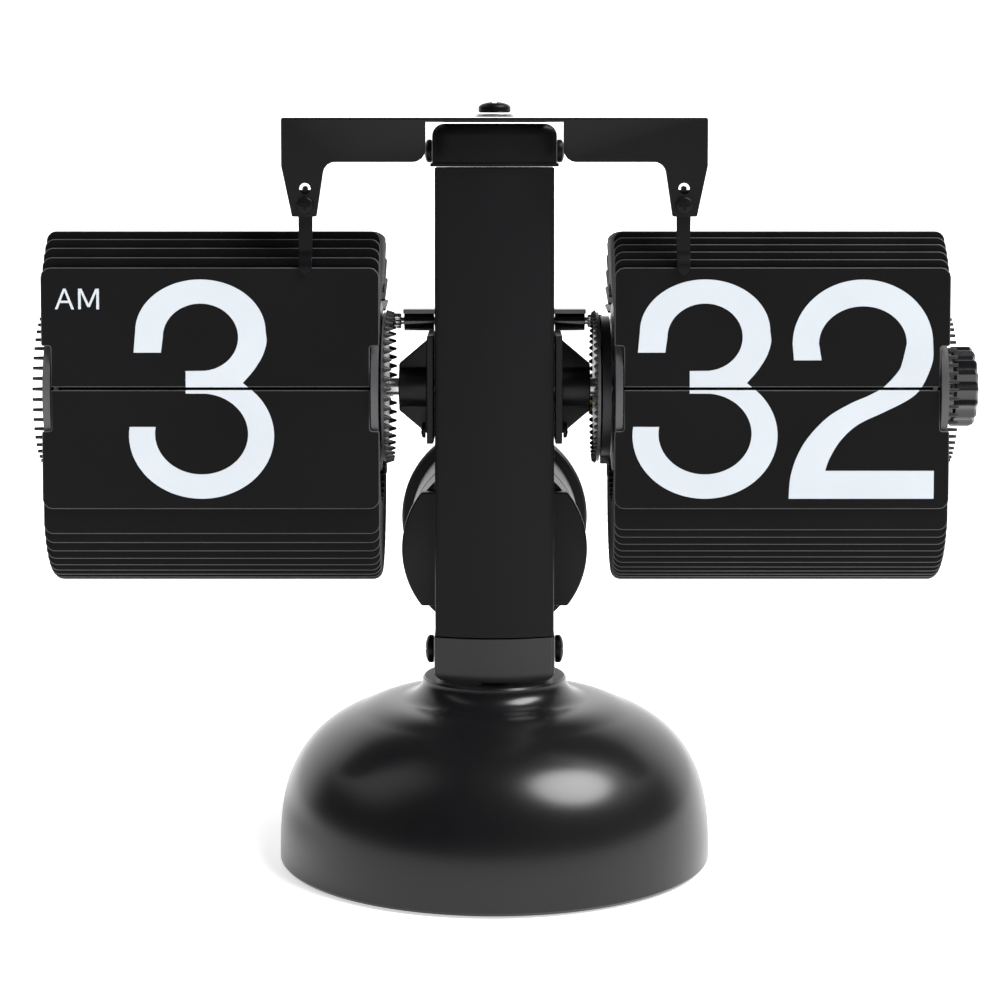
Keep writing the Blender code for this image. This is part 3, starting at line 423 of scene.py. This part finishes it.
def cross_cutter(radius, depth):
    """A cross-shaped recess cutter round local Z, with its mouth at height 0."""
    arm, reach = radius * 0.13, radius * 0.62
    outline = []
    for quarter in range(4):
        turn = Matrix.Rotation(quarter * math.pi / 2, 2)
        for point in ((arm, reach), (-arm, reach), (-arm, arm)):
            outline.append(tuple(turn @ Vector(point)))
    return solid_outline(outline, "XY", (-depth, depth))


def cut(piece, bm):
    """Cuts a bmesh from a piece, for good."""
    cutter = bpy.data.objects.new("cutter", mesh_from(bm, "cutter"))
    bpy.context.scene.collection.objects.link(cutter)
    boolean = piece.modifiers.new("cut", "BOOLEAN")
    boolean.operation, boolean.object = "DIFFERENCE", cutter
    bpy.context.view_layer.update()
    mesh = bpy.data.meshes.new_from_object(piece.evaluated_get(bpy.context.evaluated_depsgraph_get()))
    piece.modifiers.remove(boolean)
    old = piece.data
    piece.data = mesh
    bpy.data.meshes.remove(old)
    bpy.data.objects.remove(cutter)
    mesh.set_sharp_from_angle(angle=SHARP_ANGLE)


def screw_head(node, axis, height, slot="steel"):
    """A domed head with a cross recess over a CAD screw, with its crown where the CAD's is."""
    low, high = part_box(node)
    middle = (low + high) / 2
    along = {"X": 0, "Y": 1, "Z": 2}[axis[-1]]
    radius = max(high[i] - low[i] for i in range(3) if i != along) / 2
    sign = -1 if axis[0] == "-" else 1
    place = middle.copy()
    place[along] = (high[along] if sign > 0 else low[along]) - sign * height
    crown = [(0, height)]
    crown += [(radius * math.sin(math.radians(turn)), height * (0.45 + 0.55 * math.cos(math.radians(turn))))
              for turn in range(12, 91, 13)]
    profile = [*crown, (radius, height * 0.12), (radius * 0.94, 0), (0, 0)]
    piece = turned_piece(f"{node}_head", profile, place, axis, STAND, slot, [node], 40)
    recess = cross_cutter(radius, height * 0.35)
    reach = Vector((0, 0, height))
    bmesh.ops.transform(recess, matrix=Matrix.Translation(place) @ TURN[axis] @ Matrix.Translation(reach),
                        verts=recess.verts)
    cut(piece, recess)
    return piece


def make_screws():
    for word, axis in (("left", "-X"), ("right", "X")):
        screw_head(f"clamp_screw_{word}", axis, 1.9 * MM, "satin_black")
        screw_head(f"cap_side_screw_{word}", axis, 1.6 * MM, "satin_black")
        screw_head(f"{word}_gusset_screw", axis, 1.0 * MM, "satin_black")
        screw_head(f"finger_screw_{word}", "-Y", 0.8 * MM, "satin_black")
        refined(f"finger_stud_{word}", 0.1 * MM)
    low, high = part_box("cap_washer")
    inner, outer = 2.1 * MM, high.x
    section = [(inner, high.z), (outer - 0.15 * MM, high.z), (outer, high.z - 0.15 * MM),
               (outer, low.z + 0.1 * MM), (outer - 0.1 * MM, low.z), (inner, low.z), (inner, high.z)]
    turned_piece("cap_washer_ring", section, (0, 0, 0), "Z", STAND, "steel", ["cap_washer"], 64)
    screw_head("cap_screw", "Z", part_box("cap_screw")[1].z - high.z - 0.3 * MM, "satin_black")


# ---------------------------------------------------------------- bracket and fingers

def make_bracket():
    """The sheet bracket, and two spring fingers that bend in to hook over the leaves' top edges."""
    refined("arm_bracket", 0.22 * MM)
    bend_start, bend_length = 0.72, 0.18
    taper_start, taper_length = 0.93, 0.07
    for word in ("left", "right"):
        low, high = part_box(f"finger_{word}")
        half, middle = (high.x - low.x) / 2, (low.x + high.x) / 2
        thick = high.y - low.y
        rest, hooked = (low.y + high.y) / 2, HINGE_Y - 0.45 * MM
        tip = low.z - 1.7 * MM
        steps = 36
        bm = bmesh.new()
        rings = []
        for step in range(steps + 1):
            share = step / steps
            z = high.z - 0.25 * MM + (tip - high.z) * share
            bend = min(max((share - bend_start) / bend_length, 0.0), 1.0)
            y = rest + (hooked - rest) * bend * bend * (3 - 2 * bend)
            over = min(max((share - taper_start) / taper_length, 0.0), 1.0)
            width = (half - 0.2 * MM * share) * (1 - 0.8 * over)
            rings.append([bm.verts.new((middle + x * width, y + d * thick / 2, z))
                          for x, d in ((-1, -1), (1, -1), (1, 1), (-1, 1))])
        bridge(bm, rings)
        bm.faces.new(rings[0])
        bm.faces.new(rings[-1][::-1])
        piece = place_piece(f"finger_{word}_strip", mesh_from(bm, "finger"), STAND, "satin_black",
                            [f"finger_{word}"])
        bevelled(piece, 0.1 * MM)


# ---------------------------------------------------------------- numbers

GLYPH_UNITS = 151.7  # a numeral's height, in hundredths of its width
PRINT_THICKNESS = 0.05 * MM
DIGIT_WIDTH = 30.3 * MM
DIGIT_HEIGHT = 45.9 * MM
DIGIT_BOTTOM = 80.5 * MM
HOUR_DIGIT_LEFT = -76.3 * MM
MINUTE_TENS_LEFT = 28.8 * MM
MINUTE_ONES_LEFT = 61.5 * MM
LETTER_BOTTOM, LETTER_HEIGHT = 120.2 * MM, 4.3 * MM


def glyph_three():
    """The numeral 3 in hundredths of its width: two bowls that meet in a short bar."""
    outer_upper = [(3.6, 101.3), *arc((49.7, 115.9), (44.8, 35.9), 180, 0, 34)]
    waist = smooth_run([(94.5, 115.9), (95.1, 108.5), (92.5, 99.5), (88.0, 91.7), (84.0, 86.4),
                        (78.6, 80.3)])
    outer_lower = arc((50.0, 43.8), (50.0, 43.8), 50, -188, 52)
    inner_lower = arc((50.0, 45.0), (32.1, 28.1), -190, 84, 44)
    bar = [(39.3, 73.0), (39.3, 88.6)]
    inner_upper = [*arc((49.7, 111.9), (25.9, 23.3), -84, 180, 36), (22.4, 101.3)]
    return outer_upper + waist[1:] + outer_lower + inner_lower + bar + inner_upper


def smooth_run(points, steps=8):
    """A smooth curve through the points, which are few."""
    run = []
    padded = [points[0], *points, points[-1]]
    for before, start, end, after in zip(padded, padded[1:], padded[2:], padded[3:]):
        for step in range(steps):
            t = step / steps
            run.append(tuple(
                0.5 * (2 * s + (e - b) * t + (2 * b - 5 * s + 4 * e - a) * t**2
                       + (3 * s - b - 3 * e + a) * t**3)
                for b, s, e, a in zip(before, start, end, after)))
    return [*run, points[-1]]


def glyph_two():
    """The numeral 2 in hundredths of its width: a bowl that sweeps down to a flat foot."""
    bowl = (50.3, 107.5)
    outer = [(3.0, 96.0), *arc(bowl, (48.3, 44.2), 180, 0, 36)]
    right = smooth_run([(98.6, 107.5), (98.4, 95.2), (93.1, 81.1), (87.5, 73.0), (79.0, 67.0),
                        (65.0, 60.0), (47.5, 51.5), (36.0, 41.0), (28.5, 29.0), (25.0, 19.4)])
    left = smooth_run([(0, 0), (1.0, 14.0), (5.0, 28.0), (12.8, 42.1), (26.4, 56.5), (42.0, 66.0),
                       (54.5, 71.5), (65.0, 77.6), (74.7, 88.1), (77.7, 95.2), (80.5, 107.5)])
    inner = [*arc(bowl, (30.2, 25.8), 0, 180, 30), (22.0, 96.0)]
    return outer + right[1:] + [(100, 19.4), (100, 0)] + left + inner[1:]


GLYPHS = {"3": glyph_three, "2": glyph_two}


def letter_a():
    """The letter's outline and its hole, in hundredths of its width and height."""
    legs = [(0, 0), (43, 100), (57, 100), (100, 0), (86, 0), (73, 31), (27, 31), (14, 0)]
    return [legs, [(31, 42), (69, 42), (50, 87)]]


def letter_m():
    """The letter's outline, in hundredths of its width and height."""
    return [[(0, 0), (0, 100), (17, 100), (50, 26), (83, 100), (100, 100), (100, 0), (87, 0), (87, 82),
             (56, 11), (44, 11), (13, 82), (13, 0)]]


def half_number(name, text, left, upper, body, face_y):
    """The upper or lower half of a number, as a thin layer of print on a leaf's face."""
    drawn = GLYPHS[text]()
    outline = [(left + across * DIGIT_WIDTH / 100, DIGIT_BOTTOM + up * DIGIT_HEIGHT / GLYPH_UNITS)
               for across, up in drawn]
    bm = solid_outline(outline, "XZ", (face_y, face_y - PRINT_THICKNESS))
    margin = 0.3 * MM if upper else -0.3 * MM
    geometry = [*bm.verts, *bm.edges, *bm.faces]
    cut_at = bmesh.ops.bisect_plane(bm, geom=geometry, plane_co=(0, 0, SPLIT_Z + margin), plane_no=(0, 0, 1),
                                    clear_inner=upper, clear_outer=not upper)
    edges = [item for item in cut_at["geom_cut"] if isinstance(item, bmesh.types.BMEdge)]
    bmesh.ops.holes_fill(bm, edges=edges, sides=0)
    return place_piece(name, mesh_from(bm, name), body, "number")


def flip_over(piece):
    """Turns a print half round about the leaves' hinge, so that it lies on a leaf's back."""
    hinge = Matrix.Translation((0, HINGE_Y, SPLIT_Z))
    piece.data.transform(hinge @ Matrix.Rotation(math.pi, 4, "X") @ hinge.inverted())


def make_numbers():
    """The numbers shown, the next ones' lower halves on the leaves' backs, and the half of the day."""
    low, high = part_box("minute_top_leaf")
    front, leaf_thickness = low.y, high.y - low.y
    shown = (("hour", "3", HOUR_DIGIT_LEFT), ("minute_tens", "3", MINUTE_TENS_LEFT),
             ("minute_ones", "2", MINUTE_ONES_LEFT))
    for word, text, left in shown:
        flap = word.split("_")[0] + "_leaf"
        half_number(f"{word}_number_upper", text, left, True, flap, front)
        half_number(f"{word}_number_lower", text, left, False, STAND, front)
        flip_over(half_number(f"{word}_next_lower", "3", left, False, flap,
                              2 * HINGE_Y - front - leaf_thickness))
    letters = (("a", letter_a, -91.5 * MM, 4.0 * MM), ("m", letter_m, -86.65 * MM, 4.35 * MM))
    for letter, maker, left, wide in letters:
        outline, *holes = [[(left + across * wide / 100, LETTER_BOTTOM + up * LETTER_HEIGHT / 100)
                            for across, up in points] for points in maker()]
        bm = solid_outline(outline, "XZ", (front, front - PRINT_THICKNESS), holes)
        place_piece(f"half_day_letter_{letter}", mesh_from(bm, "letter"), "hour_leaf", "number")


# ---------------------------------------------------------------- leaves

LEAF_THICKNESS = 0.48 * MM
LEAF_ROUNDING = 0.2 * MM
EDGE_HIGHLIGHT_INDEX = 1
FAN_CIRCLE = 16.3 * MM
STANDING_ARC, STANDING_LEAN = math.radians(35), 0.36
RESTING_TOP, RESTING_DROP = 33.6 * MM, 1.6 * MM
LEAF_LENGTH = 25.3 * MM
NOTCH = (2.0 * MM, 8.9 * MM)
HOUR_LEAVES, MINUTE_LEAVES = 48, 60


def leaf_mesh(name, low_x, high_x, length):
    """One number leaf that stands up from its hinge line at the origin, with two hinge lugs."""
    notch_wide, notch_high = NOTCH
    lug, lug_high = 0.9 * MM, 1.1 * MM
    outline = rounded([
        (low_x + notch_wide - lug, -lug_high / 2, 0), (low_x + notch_wide - lug, lug_high / 2, 0),
        (low_x + notch_wide, lug_high / 2 + 0.6 * MM, 0), (low_x + notch_wide, notch_high, 0),
        (low_x, notch_high, 0), (low_x, length, 2 * MM), (high_x, length, 2 * MM),
        (high_x, notch_high, 0), (high_x - notch_wide, notch_high, 0),
        (high_x - notch_wide, lug_high / 2 + 0.6 * MM, 0),
        (high_x - notch_wide + lug, lug_high / 2, 0), (high_x - notch_wide + lug, -lug_high / 2, 0),
    ], 5)
    half = LEAF_THICKNESS / 2
    return mesh_from(solid_outline(outline, "XZ", (-half, half)), name)


def leaf_lean(angle):
    """The first leaves stand, the next lie back with tips nearly at one height, the rest swing down."""
    if angle < STANDING_ARC:
        return STANDING_LEAN * angle
    quarter = math.pi / 2
    share = min((angle - STANDING_ARC) / (quarter - STANDING_ARC), 1.0)
    top = RESTING_TOP - RESTING_DROP * share
    lying = math.acos(min((top - FAN_CIRCLE * math.sin(min(angle, quarter))) / LEAF_LENGTH, 1.0))
    if angle < quarter:
        return lying
    return lying + (angle - quarter) * (math.pi - lying) / quarter


def paint_edge_highlights(mesh):
    """Gives a leaf's cut edges, all that doesn't face forwards or back, the lighter edge colour: a painted
    highlight.
    """
    mesh.materials.append(MATERIALS["painted_edge_highlight"])
    for face in mesh.polygons:
        face.material_index = 0 if abs(face.normal.y) > 0.9 else EDGE_HIGHLIGHT_INDEX


def make_fan(drum, count):
    """Every leaf of a drum but the two that show the number, each one standing, leaning or hanging."""
    low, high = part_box(f"{drum}_top_leaf")
    mesh = leaf_mesh(f"{drum}_leaf", low.x, high.x, high.z - SPLIT_Z)
    mesh.materials.append(MATERIALS["leaf_black"])
    # The leaves' edges take the lighter colour: a painted highlight.
    paint_edge_highlights(mesh)
    mesh.shade_smooth()
    mesh.set_sharp_from_angle(angle=SHARP_ANGLE)
    pitch = math.tau / count
    first = math.asin((SPLIT_Z - AXLE_Z) / FAN_CIRCLE)
    for index in range(1, count - 1):
        angle = index * pitch
        lean = math.pi
        if angle < math.pi:
            angle += first * (1 - angle / math.pi)
            lean = leaf_lean(angle)
        piece = bpy.data.objects.new(f"{drum}_leaf_{index:02d}", mesh)
        bpy.context.scene.collection.objects.link(piece)
        piece.location = (0, -FAN_CIRCLE * math.cos(angle), AXLE_Z + FAN_CIRCLE * math.sin(angle))
        piece.rotation_euler = (-lean, 0, 0)
        # The rounded edges take the lighter edge colour too, as a painted highlight.
        bevelled(piece, LEAF_ROUNDING).modifiers["edge_rounding"].material = EDGE_HIGHLIGHT_INDEX
        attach(piece, STAND)
        if index == 1:
            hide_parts(f"{drum}_upper_leaves")
        if index == count - 2:
            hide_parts(f"{drum}_lower_leaves")


def make_leaves():
    make_fan("hour", HOUR_LEAVES)
    make_fan("minute", MINUTE_LEAVES)
    for drum in ("hour", "minute"):
        for part in ("top", "bottom"):
            leaf = refined(f"{drum}_{part}_leaf", LEAF_ROUNDING)
            # The shown leaves' edges get the same painted highlight.
            paint_edge_highlights(leaf.data)
            leaf.modifiers["edge_rounding"].material = EDGE_HIGHLIGHT_INDEX


# ---------------------------------------------------------------- drums

DISC_RADIUS, DISC_WEB = 18.0 * MM, 1.5 * MM
OPENINGS, OPENING_CIRCLE, OPENING_RADIUS = 6, 9.6 * MM, 2.9 * MM
AXLE_BORE = 2.2 * MM
PIN_CIRCLE = 16.8 * MM
GEAR_RADIUS, TOOTH_CIRCLE = 16.0 * MM, 15.8 * MM


def ring(radius, steps):
    """A circle about the axle, seen along it."""
    return arc((0, AXLE_Z), radius, 0, 360 * (steps - 1) / steps, steps - 1)


def on_circle(radius, turn):
    """The place at an angle round the axle, as across and up."""
    return radius * math.cos(turn), AXLE_Z + radius * math.sin(turn)


def make_disc(node, body, count):
    """An end disc with round openings in its web, and on the outside the leaf pivots' ends and a boss."""
    low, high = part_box(node)
    inside = node.endswith("inner_disc")
    left_side = body == HOUR
    span = (low.x, high.x)
    if not inside:
        span = (high.x - DISC_WEB, high.x) if left_side else (low.x, low.x + DISC_WEB)
    holes = [arc(on_circle(OPENING_CIRCLE, math.tau * opening / OPENINGS), OPENING_RADIUS, 0, 345, 23)
             for opening in range(OPENINGS)]
    outline_piece(f"{node}_web", ring(DISC_RADIUS, 120), "YZ", span, body, "grey_plastic", [node],
                  [*holes, ring(AXLE_BORE, 32)], 0.25 * MM)
    if inside:
        return
    tip, root = (low.x, high.x - DISC_WEB) if left_side else (high.x, low.x + DISC_WEB)
    bm = bmesh.new()
    for pin in range(count):
        turn = math.tau * (pin + 0.5) / count
        spot = Matrix.Translation(((tip + root) / 2, *on_circle(PIN_CIRCLE, turn)))
        bmesh.ops.create_cone(bm, cap_ends=True, segments=12, radius1=0.42 * MM, radius2=0.34 * MM,
                              depth=abs(tip - root) + 0.4 * MM, matrix=spot @ TURN["X" if tip > root else "-X"])
    mesh = mesh_from(bm, "pins")
    for vertex in mesh.vertices:
        vertex.co.x = max(vertex.co.x, tip) if tip < root else min(vertex.co.x, tip)
    place_piece(f"{node}_leaf_pins", mesh, body, "dark_tooth")
    outer_face, outwards = (span[0], "-X") if left_side else (span[1], "X")
    boss, bore, rim, chamfer = 1.2 * MM, 2.3 * MM, 4.5 * MM, 0.3 * MM
    profile = [(bore, boss), (rim - chamfer, boss), (rim, boss - chamfer), (rim, 0.0), (bore, 0.0),
               (bore, boss)]
    turned_piece(f"{node}_boss", profile, (outer_face, 0, AXLE_Z), outwards, body, "grey_plastic", steps=48)


def make_crown_gear(node, body, count):
    """A thin wheel whose pointed teeth stand out sideways, towards the column."""
    low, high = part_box(node)
    back, tip = (low.x, high.x) if high.x < 0 else (high.x, low.x)
    away = 1 if tip > back else -1
    web = back + away * 0.7 * MM
    outline_piece(f"{node}_wheel", ring(GEAR_RADIUS, 96), "YZ", (min(back, web), max(back, web)), body,
                  "grey_plastic", [node], [ring(AXLE_BORE, 32)], 0.12 * MM)
    bm = bmesh.new()
    for tooth in range(count):
        turn = math.tau * (tooth + 0.5) / count
        spot = Matrix.Translation(((web + tip) / 2, *on_circle(TOOTH_CIRCLE, turn)))
        bmesh.ops.create_cone(bm, cap_ends=True, segments=12, radius1=0.72 * MM, radius2=0.24 * MM,
                              depth=abs(tip - web) + 0.1 * MM, matrix=spot @ TURN["X" if away > 0 else "-X"])
    place_piece(f"{node}_teeth", mesh_from(bm, "teeth"), body, "dark_tooth")


def make_drums():
    make_disc("hour_outer_disc", HOUR, HOUR_LEAVES)
    make_disc("hour_inner_disc", HOUR, HOUR_LEAVES)
    make_disc("minute_inner_disc", MINUTE, MINUTE_LEAVES)
    make_disc("minute_outer_disc", MINUTE, MINUTE_LEAVES)
    make_crown_gear("hour_gear", HOUR, HOUR_LEAVES)
    make_crown_gear("minute_drive_gear", MINUTE, MINUTE_LEAVES)
    refined("minute_transfer_wheel", 0.08 * MM, "dark_tooth")
    for node, body in (("hour_hub", HOUR), ("minute_hub", MINUTE)):
        low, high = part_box(node)
        radius, length = (high.z - low.z) / 2, high.x - low.x
        profile = [(AXLE_BORE, length), (radius, length)]
        ribs = 9
        for rib in range(ribs, 0, -1):
            at = length * rib / (ribs + 1)
            profile += [(radius - 0.5 * MM, at + 1.4 * MM), (radius, at + 1.0 * MM),
                        (radius, at - 1.0 * MM), (radius - 0.5 * MM, at - 1.4 * MM)]
        profile += [(radius, 0.0), (AXLE_BORE, 0.0), (AXLE_BORE, length)]
        turned_piece(f"{node}_tube", profile, (low.x, 0, AXLE_Z), "X", body, "matte_black", [node], 40)
    low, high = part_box("main_axle")
    radius = (high.z - low.z) / 2
    length = high.x - low.x
    profile = [(0, length), (radius - 0.3 * MM, length), (radius, length - 0.3 * MM), (radius, 0.3 * MM),
               (radius - 0.3 * MM, 0), (0, 0)]
    turned_piece("main_axle_bar", profile, (low.x, 0, AXLE_Z), "X", MINUTE, "steel", ["main_axle"], 48)


def make_knob():
    """The setting knob: grip flutes, a chamfered rim and a dished face."""
    low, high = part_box("minute_knob")
    radius, flutes = (high.z - low.z) / 2, 16
    per_flute, depth = 12, high.x - low.x
    flute_depth = 0.62 * MM
    levels = [(0.0, -0.7), (0.5 * MM, 0.0), (depth - 0.7 * MM, 0.0), (depth - 0.2 * MM, -0.45),
              (depth, -0.9)]
    bm = bmesh.new()
    rings = []
    for along, shrink in levels:
        loop = []
        for step in range(flutes * per_flute):
            turn = math.tau * step / (flutes * per_flute)
            size = radius + shrink * MM - flute_depth * (0.5 - 0.5 * math.cos(flutes * turn)) ** 0.6
            loop.append(bm.verts.new((low.x + along, *on_circle(size, turn))))
        rings.append(loop)
    bridge(bm, rings)
    dish = []
    for along, size in ((0.0, 6.6), (-0.7, 6.1), (-0.7, 2.6), (-0.2, 2.3), (-0.2, 1.4)):
        loop = []
        for step in range(len(rings[0])):
            turn = math.tau * step / len(rings[0])
            loop.append(bm.verts.new((high.x + along * MM, *on_circle(size * MM, turn))))
        dish.append(loop)
    bridge(bm, [rings[-1], *dish])
    bm.faces.new(dish[-1])
    bm.faces.new(rings[0][::-1])
    place_piece("setting_knob", mesh_from(bm, "setting_knob"), MINUTE, "knob_black", ["minute_knob"])
    refined("knob_screw", 0.15 * MM)


# ---------------------------------------------------------------- gussets, transfer and drive

def make_transfer_pinion(word, start, end, size):
    """A small bright pinion with ten rounded teeth and a domed outer end."""
    rod_y, rod_z = JOINTS["transfer_spin"]["pos_m"][1:]
    teeth, tooth_depth, steps = 10, 0.11, 120
    dome = [(0.0, 0.45), (0.12, 0.8), (0.3, 1.0), (0.92, 1.0), (1.0, 0.9)]
    if word == "right":
        dome = [(1 - share, scale) for share, scale in reversed(dome)]
    bm = bmesh.new()
    loops = []
    for share, scale in dome:
        loop = []
        for step in range(steps):
            turn = math.tau * step / steps
            radius = size * scale * (1 - tooth_depth + tooth_depth * math.cos(teeth * turn))
            loop.append(bm.verts.new((start + (end - start) * share, rod_y + radius * math.cos(turn),
                                      rod_z + radius * math.sin(turn))))
        loops.append(loop)
    bridge(bm, loops)
    bm.faces.new(loops[0][::-1])
    bm.faces.new(loops[-1])
    place_piece(f"{word}_pinion_gear", mesh_from(bm, "pinion"), "transfer", "pinion_steel",
                [f"{word}_transfer_pinion"])


def make_mechanism():
    refined("rod_bracket", 0.2 * MM, "knob_black")
    for word, start, end, size in (("left", -24.1, -20.4, 1.75), ("right", 20.4, 24.3, 1.45)):
        make_transfer_pinion(word, start * MM, end * MM, size * MM)
    roundings = {
        "left_gusset": 0.3, "right_gusset": 0.3, "motor_plate": 0.2, "drive_pinion": 0.08, "transfer_rod": 0.1,
        "drive_shaft": 0.1, "drive_bush": 0.15, "motor_can": 0.5, "circuit_board": 0.1, "contact_plate": 0.1,
    }
    for node, width in roundings.items():
        refined(node, width * MM)


def make_battery_housing():
    """The face cut flat above and below, the round can behind it, and the open cell tube with its ring."""
    low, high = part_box("movement_case")
    middle = (low.z + high.z) / 2
    radius = (high.x - low.x) / 2
    tube_low, tube_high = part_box("battery_tube")
    can, inner = (tube_high.x - tube_low.x) / 2, 18.1 * MM
    flat_height, face_back = 12.6 * MM, low.y + 2.8 * MM
    reach = math.degrees(math.asin(min(flat_height / radius, 1.0)))
    outline = [point for side in (0, 180)
               for point in arc((0, middle), radius, side - reach, side + reach, 48)]
    outline_piece("case_face_plate", outline, "XZ", (low.y, face_back), STAND, "matte_black",
                  ["movement_case"], edge=0.35 * MM)

    def can_piece(name, node, start, end, bore):
        depth = end - start
        soft = 0.3 * MM
        profile = [(bore, depth), (can - soft, depth), (can, depth - soft), (can, soft), (can - soft, 0),
                   (bore, 0), (bore, depth)]
        turned_piece(name, profile, (0, start, middle), "Y", STAND, "matte_black", [node] if node else (),
                     160)

    can_piece("round_can", None, face_back, high.y, inner)
    cover_low, cover_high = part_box("movement_cover")
    can_piece("can_cover", "movement_cover", cover_low.y, cover_high.y, 2.0 * MM)
    can_piece("cell_tube", "battery_tube", tube_low.y, tube_high.y, inner)
    low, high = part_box("battery_ring")
    radius, bore, depth = (high.x - low.x) / 2, 18.6 * MM, high.y - low.y
    soft, lip = 0.5 * MM, 0.4 * MM
    profile = [(bore + lip, depth), (radius - soft, depth), (radius, depth - soft), (radius, soft),
               (radius - soft, 0), (bore + lip, 0), (bore, lip), (bore, depth - lip), (bore + lip, depth)]
    turned_piece("cell_ring", profile, (0, low.y, middle), "Y", STAND, "matte_black", ["battery_ring"], 160)
    spring = frame["nodes"]["contact_spring"].data
    spring.materials.clear()
    spring.materials.append(MATERIALS["steel"])


# ---------------------------------------------------------------- floor, light and camera

def plain_surface(name, colour, roughness):
    """A studio surface with a faint unevenness."""
    return surface(name, colour, tuple(value * 0.985 for value in colour), roughness, grain=60, bump=0.0,
                   spread=0.02, patch=3)


def dark_front_world():
    """A white backdrop behind the object and soft panels high at both sides, in a dark room."""
    world = bpy.data.worlds.new("studio_world")
    world.use_nodes = True
    nodes, links = world.node_tree.nodes, world.node_tree.links
    direction = nodes.new("ShaderNodeTexCoord")
    parts = nodes.new("ShaderNodeSeparateXYZ")
    links.new(direction.outputs["Generated"], parts.inputs["Vector"])

    def step(value, start, end, low, high):
        ramp = nodes.new("ShaderNodeMapRange")
        ramp.interpolation_type = "SMOOTHSTEP"
        for label, number in (("From Min", start), ("From Max", end), ("To Min", low), ("To Max", high)):
            ramp.inputs[label].default_value = number
        links.new(value, ramp.inputs["Value"])
        return ramp.outputs["Result"]

    def joined(operation, first, second):
        node = nodes.new("ShaderNodeMath")
        node.operation = operation
        links.new(first, node.inputs[0])
        links.new(second, node.inputs[1])
        return node.outputs["Value"]

    width = nodes.new("ShaderNodeMath")
    width.operation = "ABSOLUTE"
    links.new(parts.outputs["X"], width.inputs[0])
    behind = step(parts.outputs["Y"], 0.30, 0.72, 0.0, BACKDROP)
    below = step(parts.outputs["Z"], 0.42, 0.78, 1.0, 0.0)
    beside = step(width.outputs["Value"], 0.26, 0.60, 0.0, SIDES)
    raised = step(parts.outputs["Z"], 0.28, 0.60, 0.0, 1.0)
    not_front = step(parts.outputs["Y"], -0.50, -0.10, 0.0, 1.0)
    sides = joined("MULTIPLY", joined("MULTIPLY", beside, raised), not_front)
    backdrop = joined("MAXIMUM", joined("MULTIPLY", behind, below), sides)
    seen = nodes.new("ShaderNodeLightPath")
    shown = joined("MAXIMUM", backdrop, seen.outputs["Is Camera Ray"])
    lit = nodes.new("ShaderNodeMath")
    lit.operation = "ADD"
    lit.inputs[1].default_value = ROOM
    links.new(shown, lit.inputs[0])
    links.new(lit.outputs["Value"], nodes["Background"].inputs["Strength"])
    nodes["Background"].inputs["Color"].default_value = (1.0, 1.0, 1.0, 1.0)
    bpy.context.scene.world = world


def make_studio():
    bpy.ops.mesh.primitive_plane_add(size=60.0, location=(0, 0, 0))
    floor = bpy.context.object
    floor.name = "studio_floor"
    pale = plain_surface("pale_floor", (0.80, 0.80, 0.80), 0.6)
    shader = pale.node_tree.nodes["Principled BSDF"]
    shader.inputs["Emission Color"].default_value = (1.0, 1.0, 1.0, 1.0)
    shader.inputs["Emission Strength"].default_value = FLOOR_GLOW
    floor.data.materials.append(pale)
    dark_front_world()
    key = bpy.data.lights.new("key_softbox", "SUN")
    key.energy = KEY_POWER
    key.angle = KEY_ANGLE
    lamp = bpy.data.objects.new("key_softbox", key)
    bpy.context.scene.collection.objects.link(lamp)
    lamp.rotation_euler = Vector(KEY_FROM).to_track_quat("Z", "Y").to_euler()
    bpy.context.scene.view_settings.view_transform = "Standard"


def make_camera():
    data = bpy.data.cameras.new("photo_camera")
    data.lens, data.sensor_width = LENS, 36.0
    data.shift_x, data.shift_y = SHIFT_X, SHIFT_Y
    camera = bpy.data.objects.new("photo_camera", data)
    bpy.context.scene.collection.objects.link(camera)
    camera.location = (0, -CAMERA_DISTANCE, CAMERA_HEIGHT)
    camera.rotation_euler = (math.pi / 2 - CAMERA_TILT, 0, 0)
    bpy.context.scene.camera = camera


def carry_over():
    """Gives every CAD node that still shows its slot's material."""
    for name, node in frame["nodes"].items():
        if not node.hide_render:
            node.data.materials.clear()
            node.data.materials.append(MATERIALS[SLOT_OF_NODE[name]])


make_camera()
make_base()
make_column()
make_screws()
make_bracket()
make_leaves()
make_numbers()
make_drums()
make_knob()
make_mechanism()
make_battery_housing()
carry_over()
make_studio()
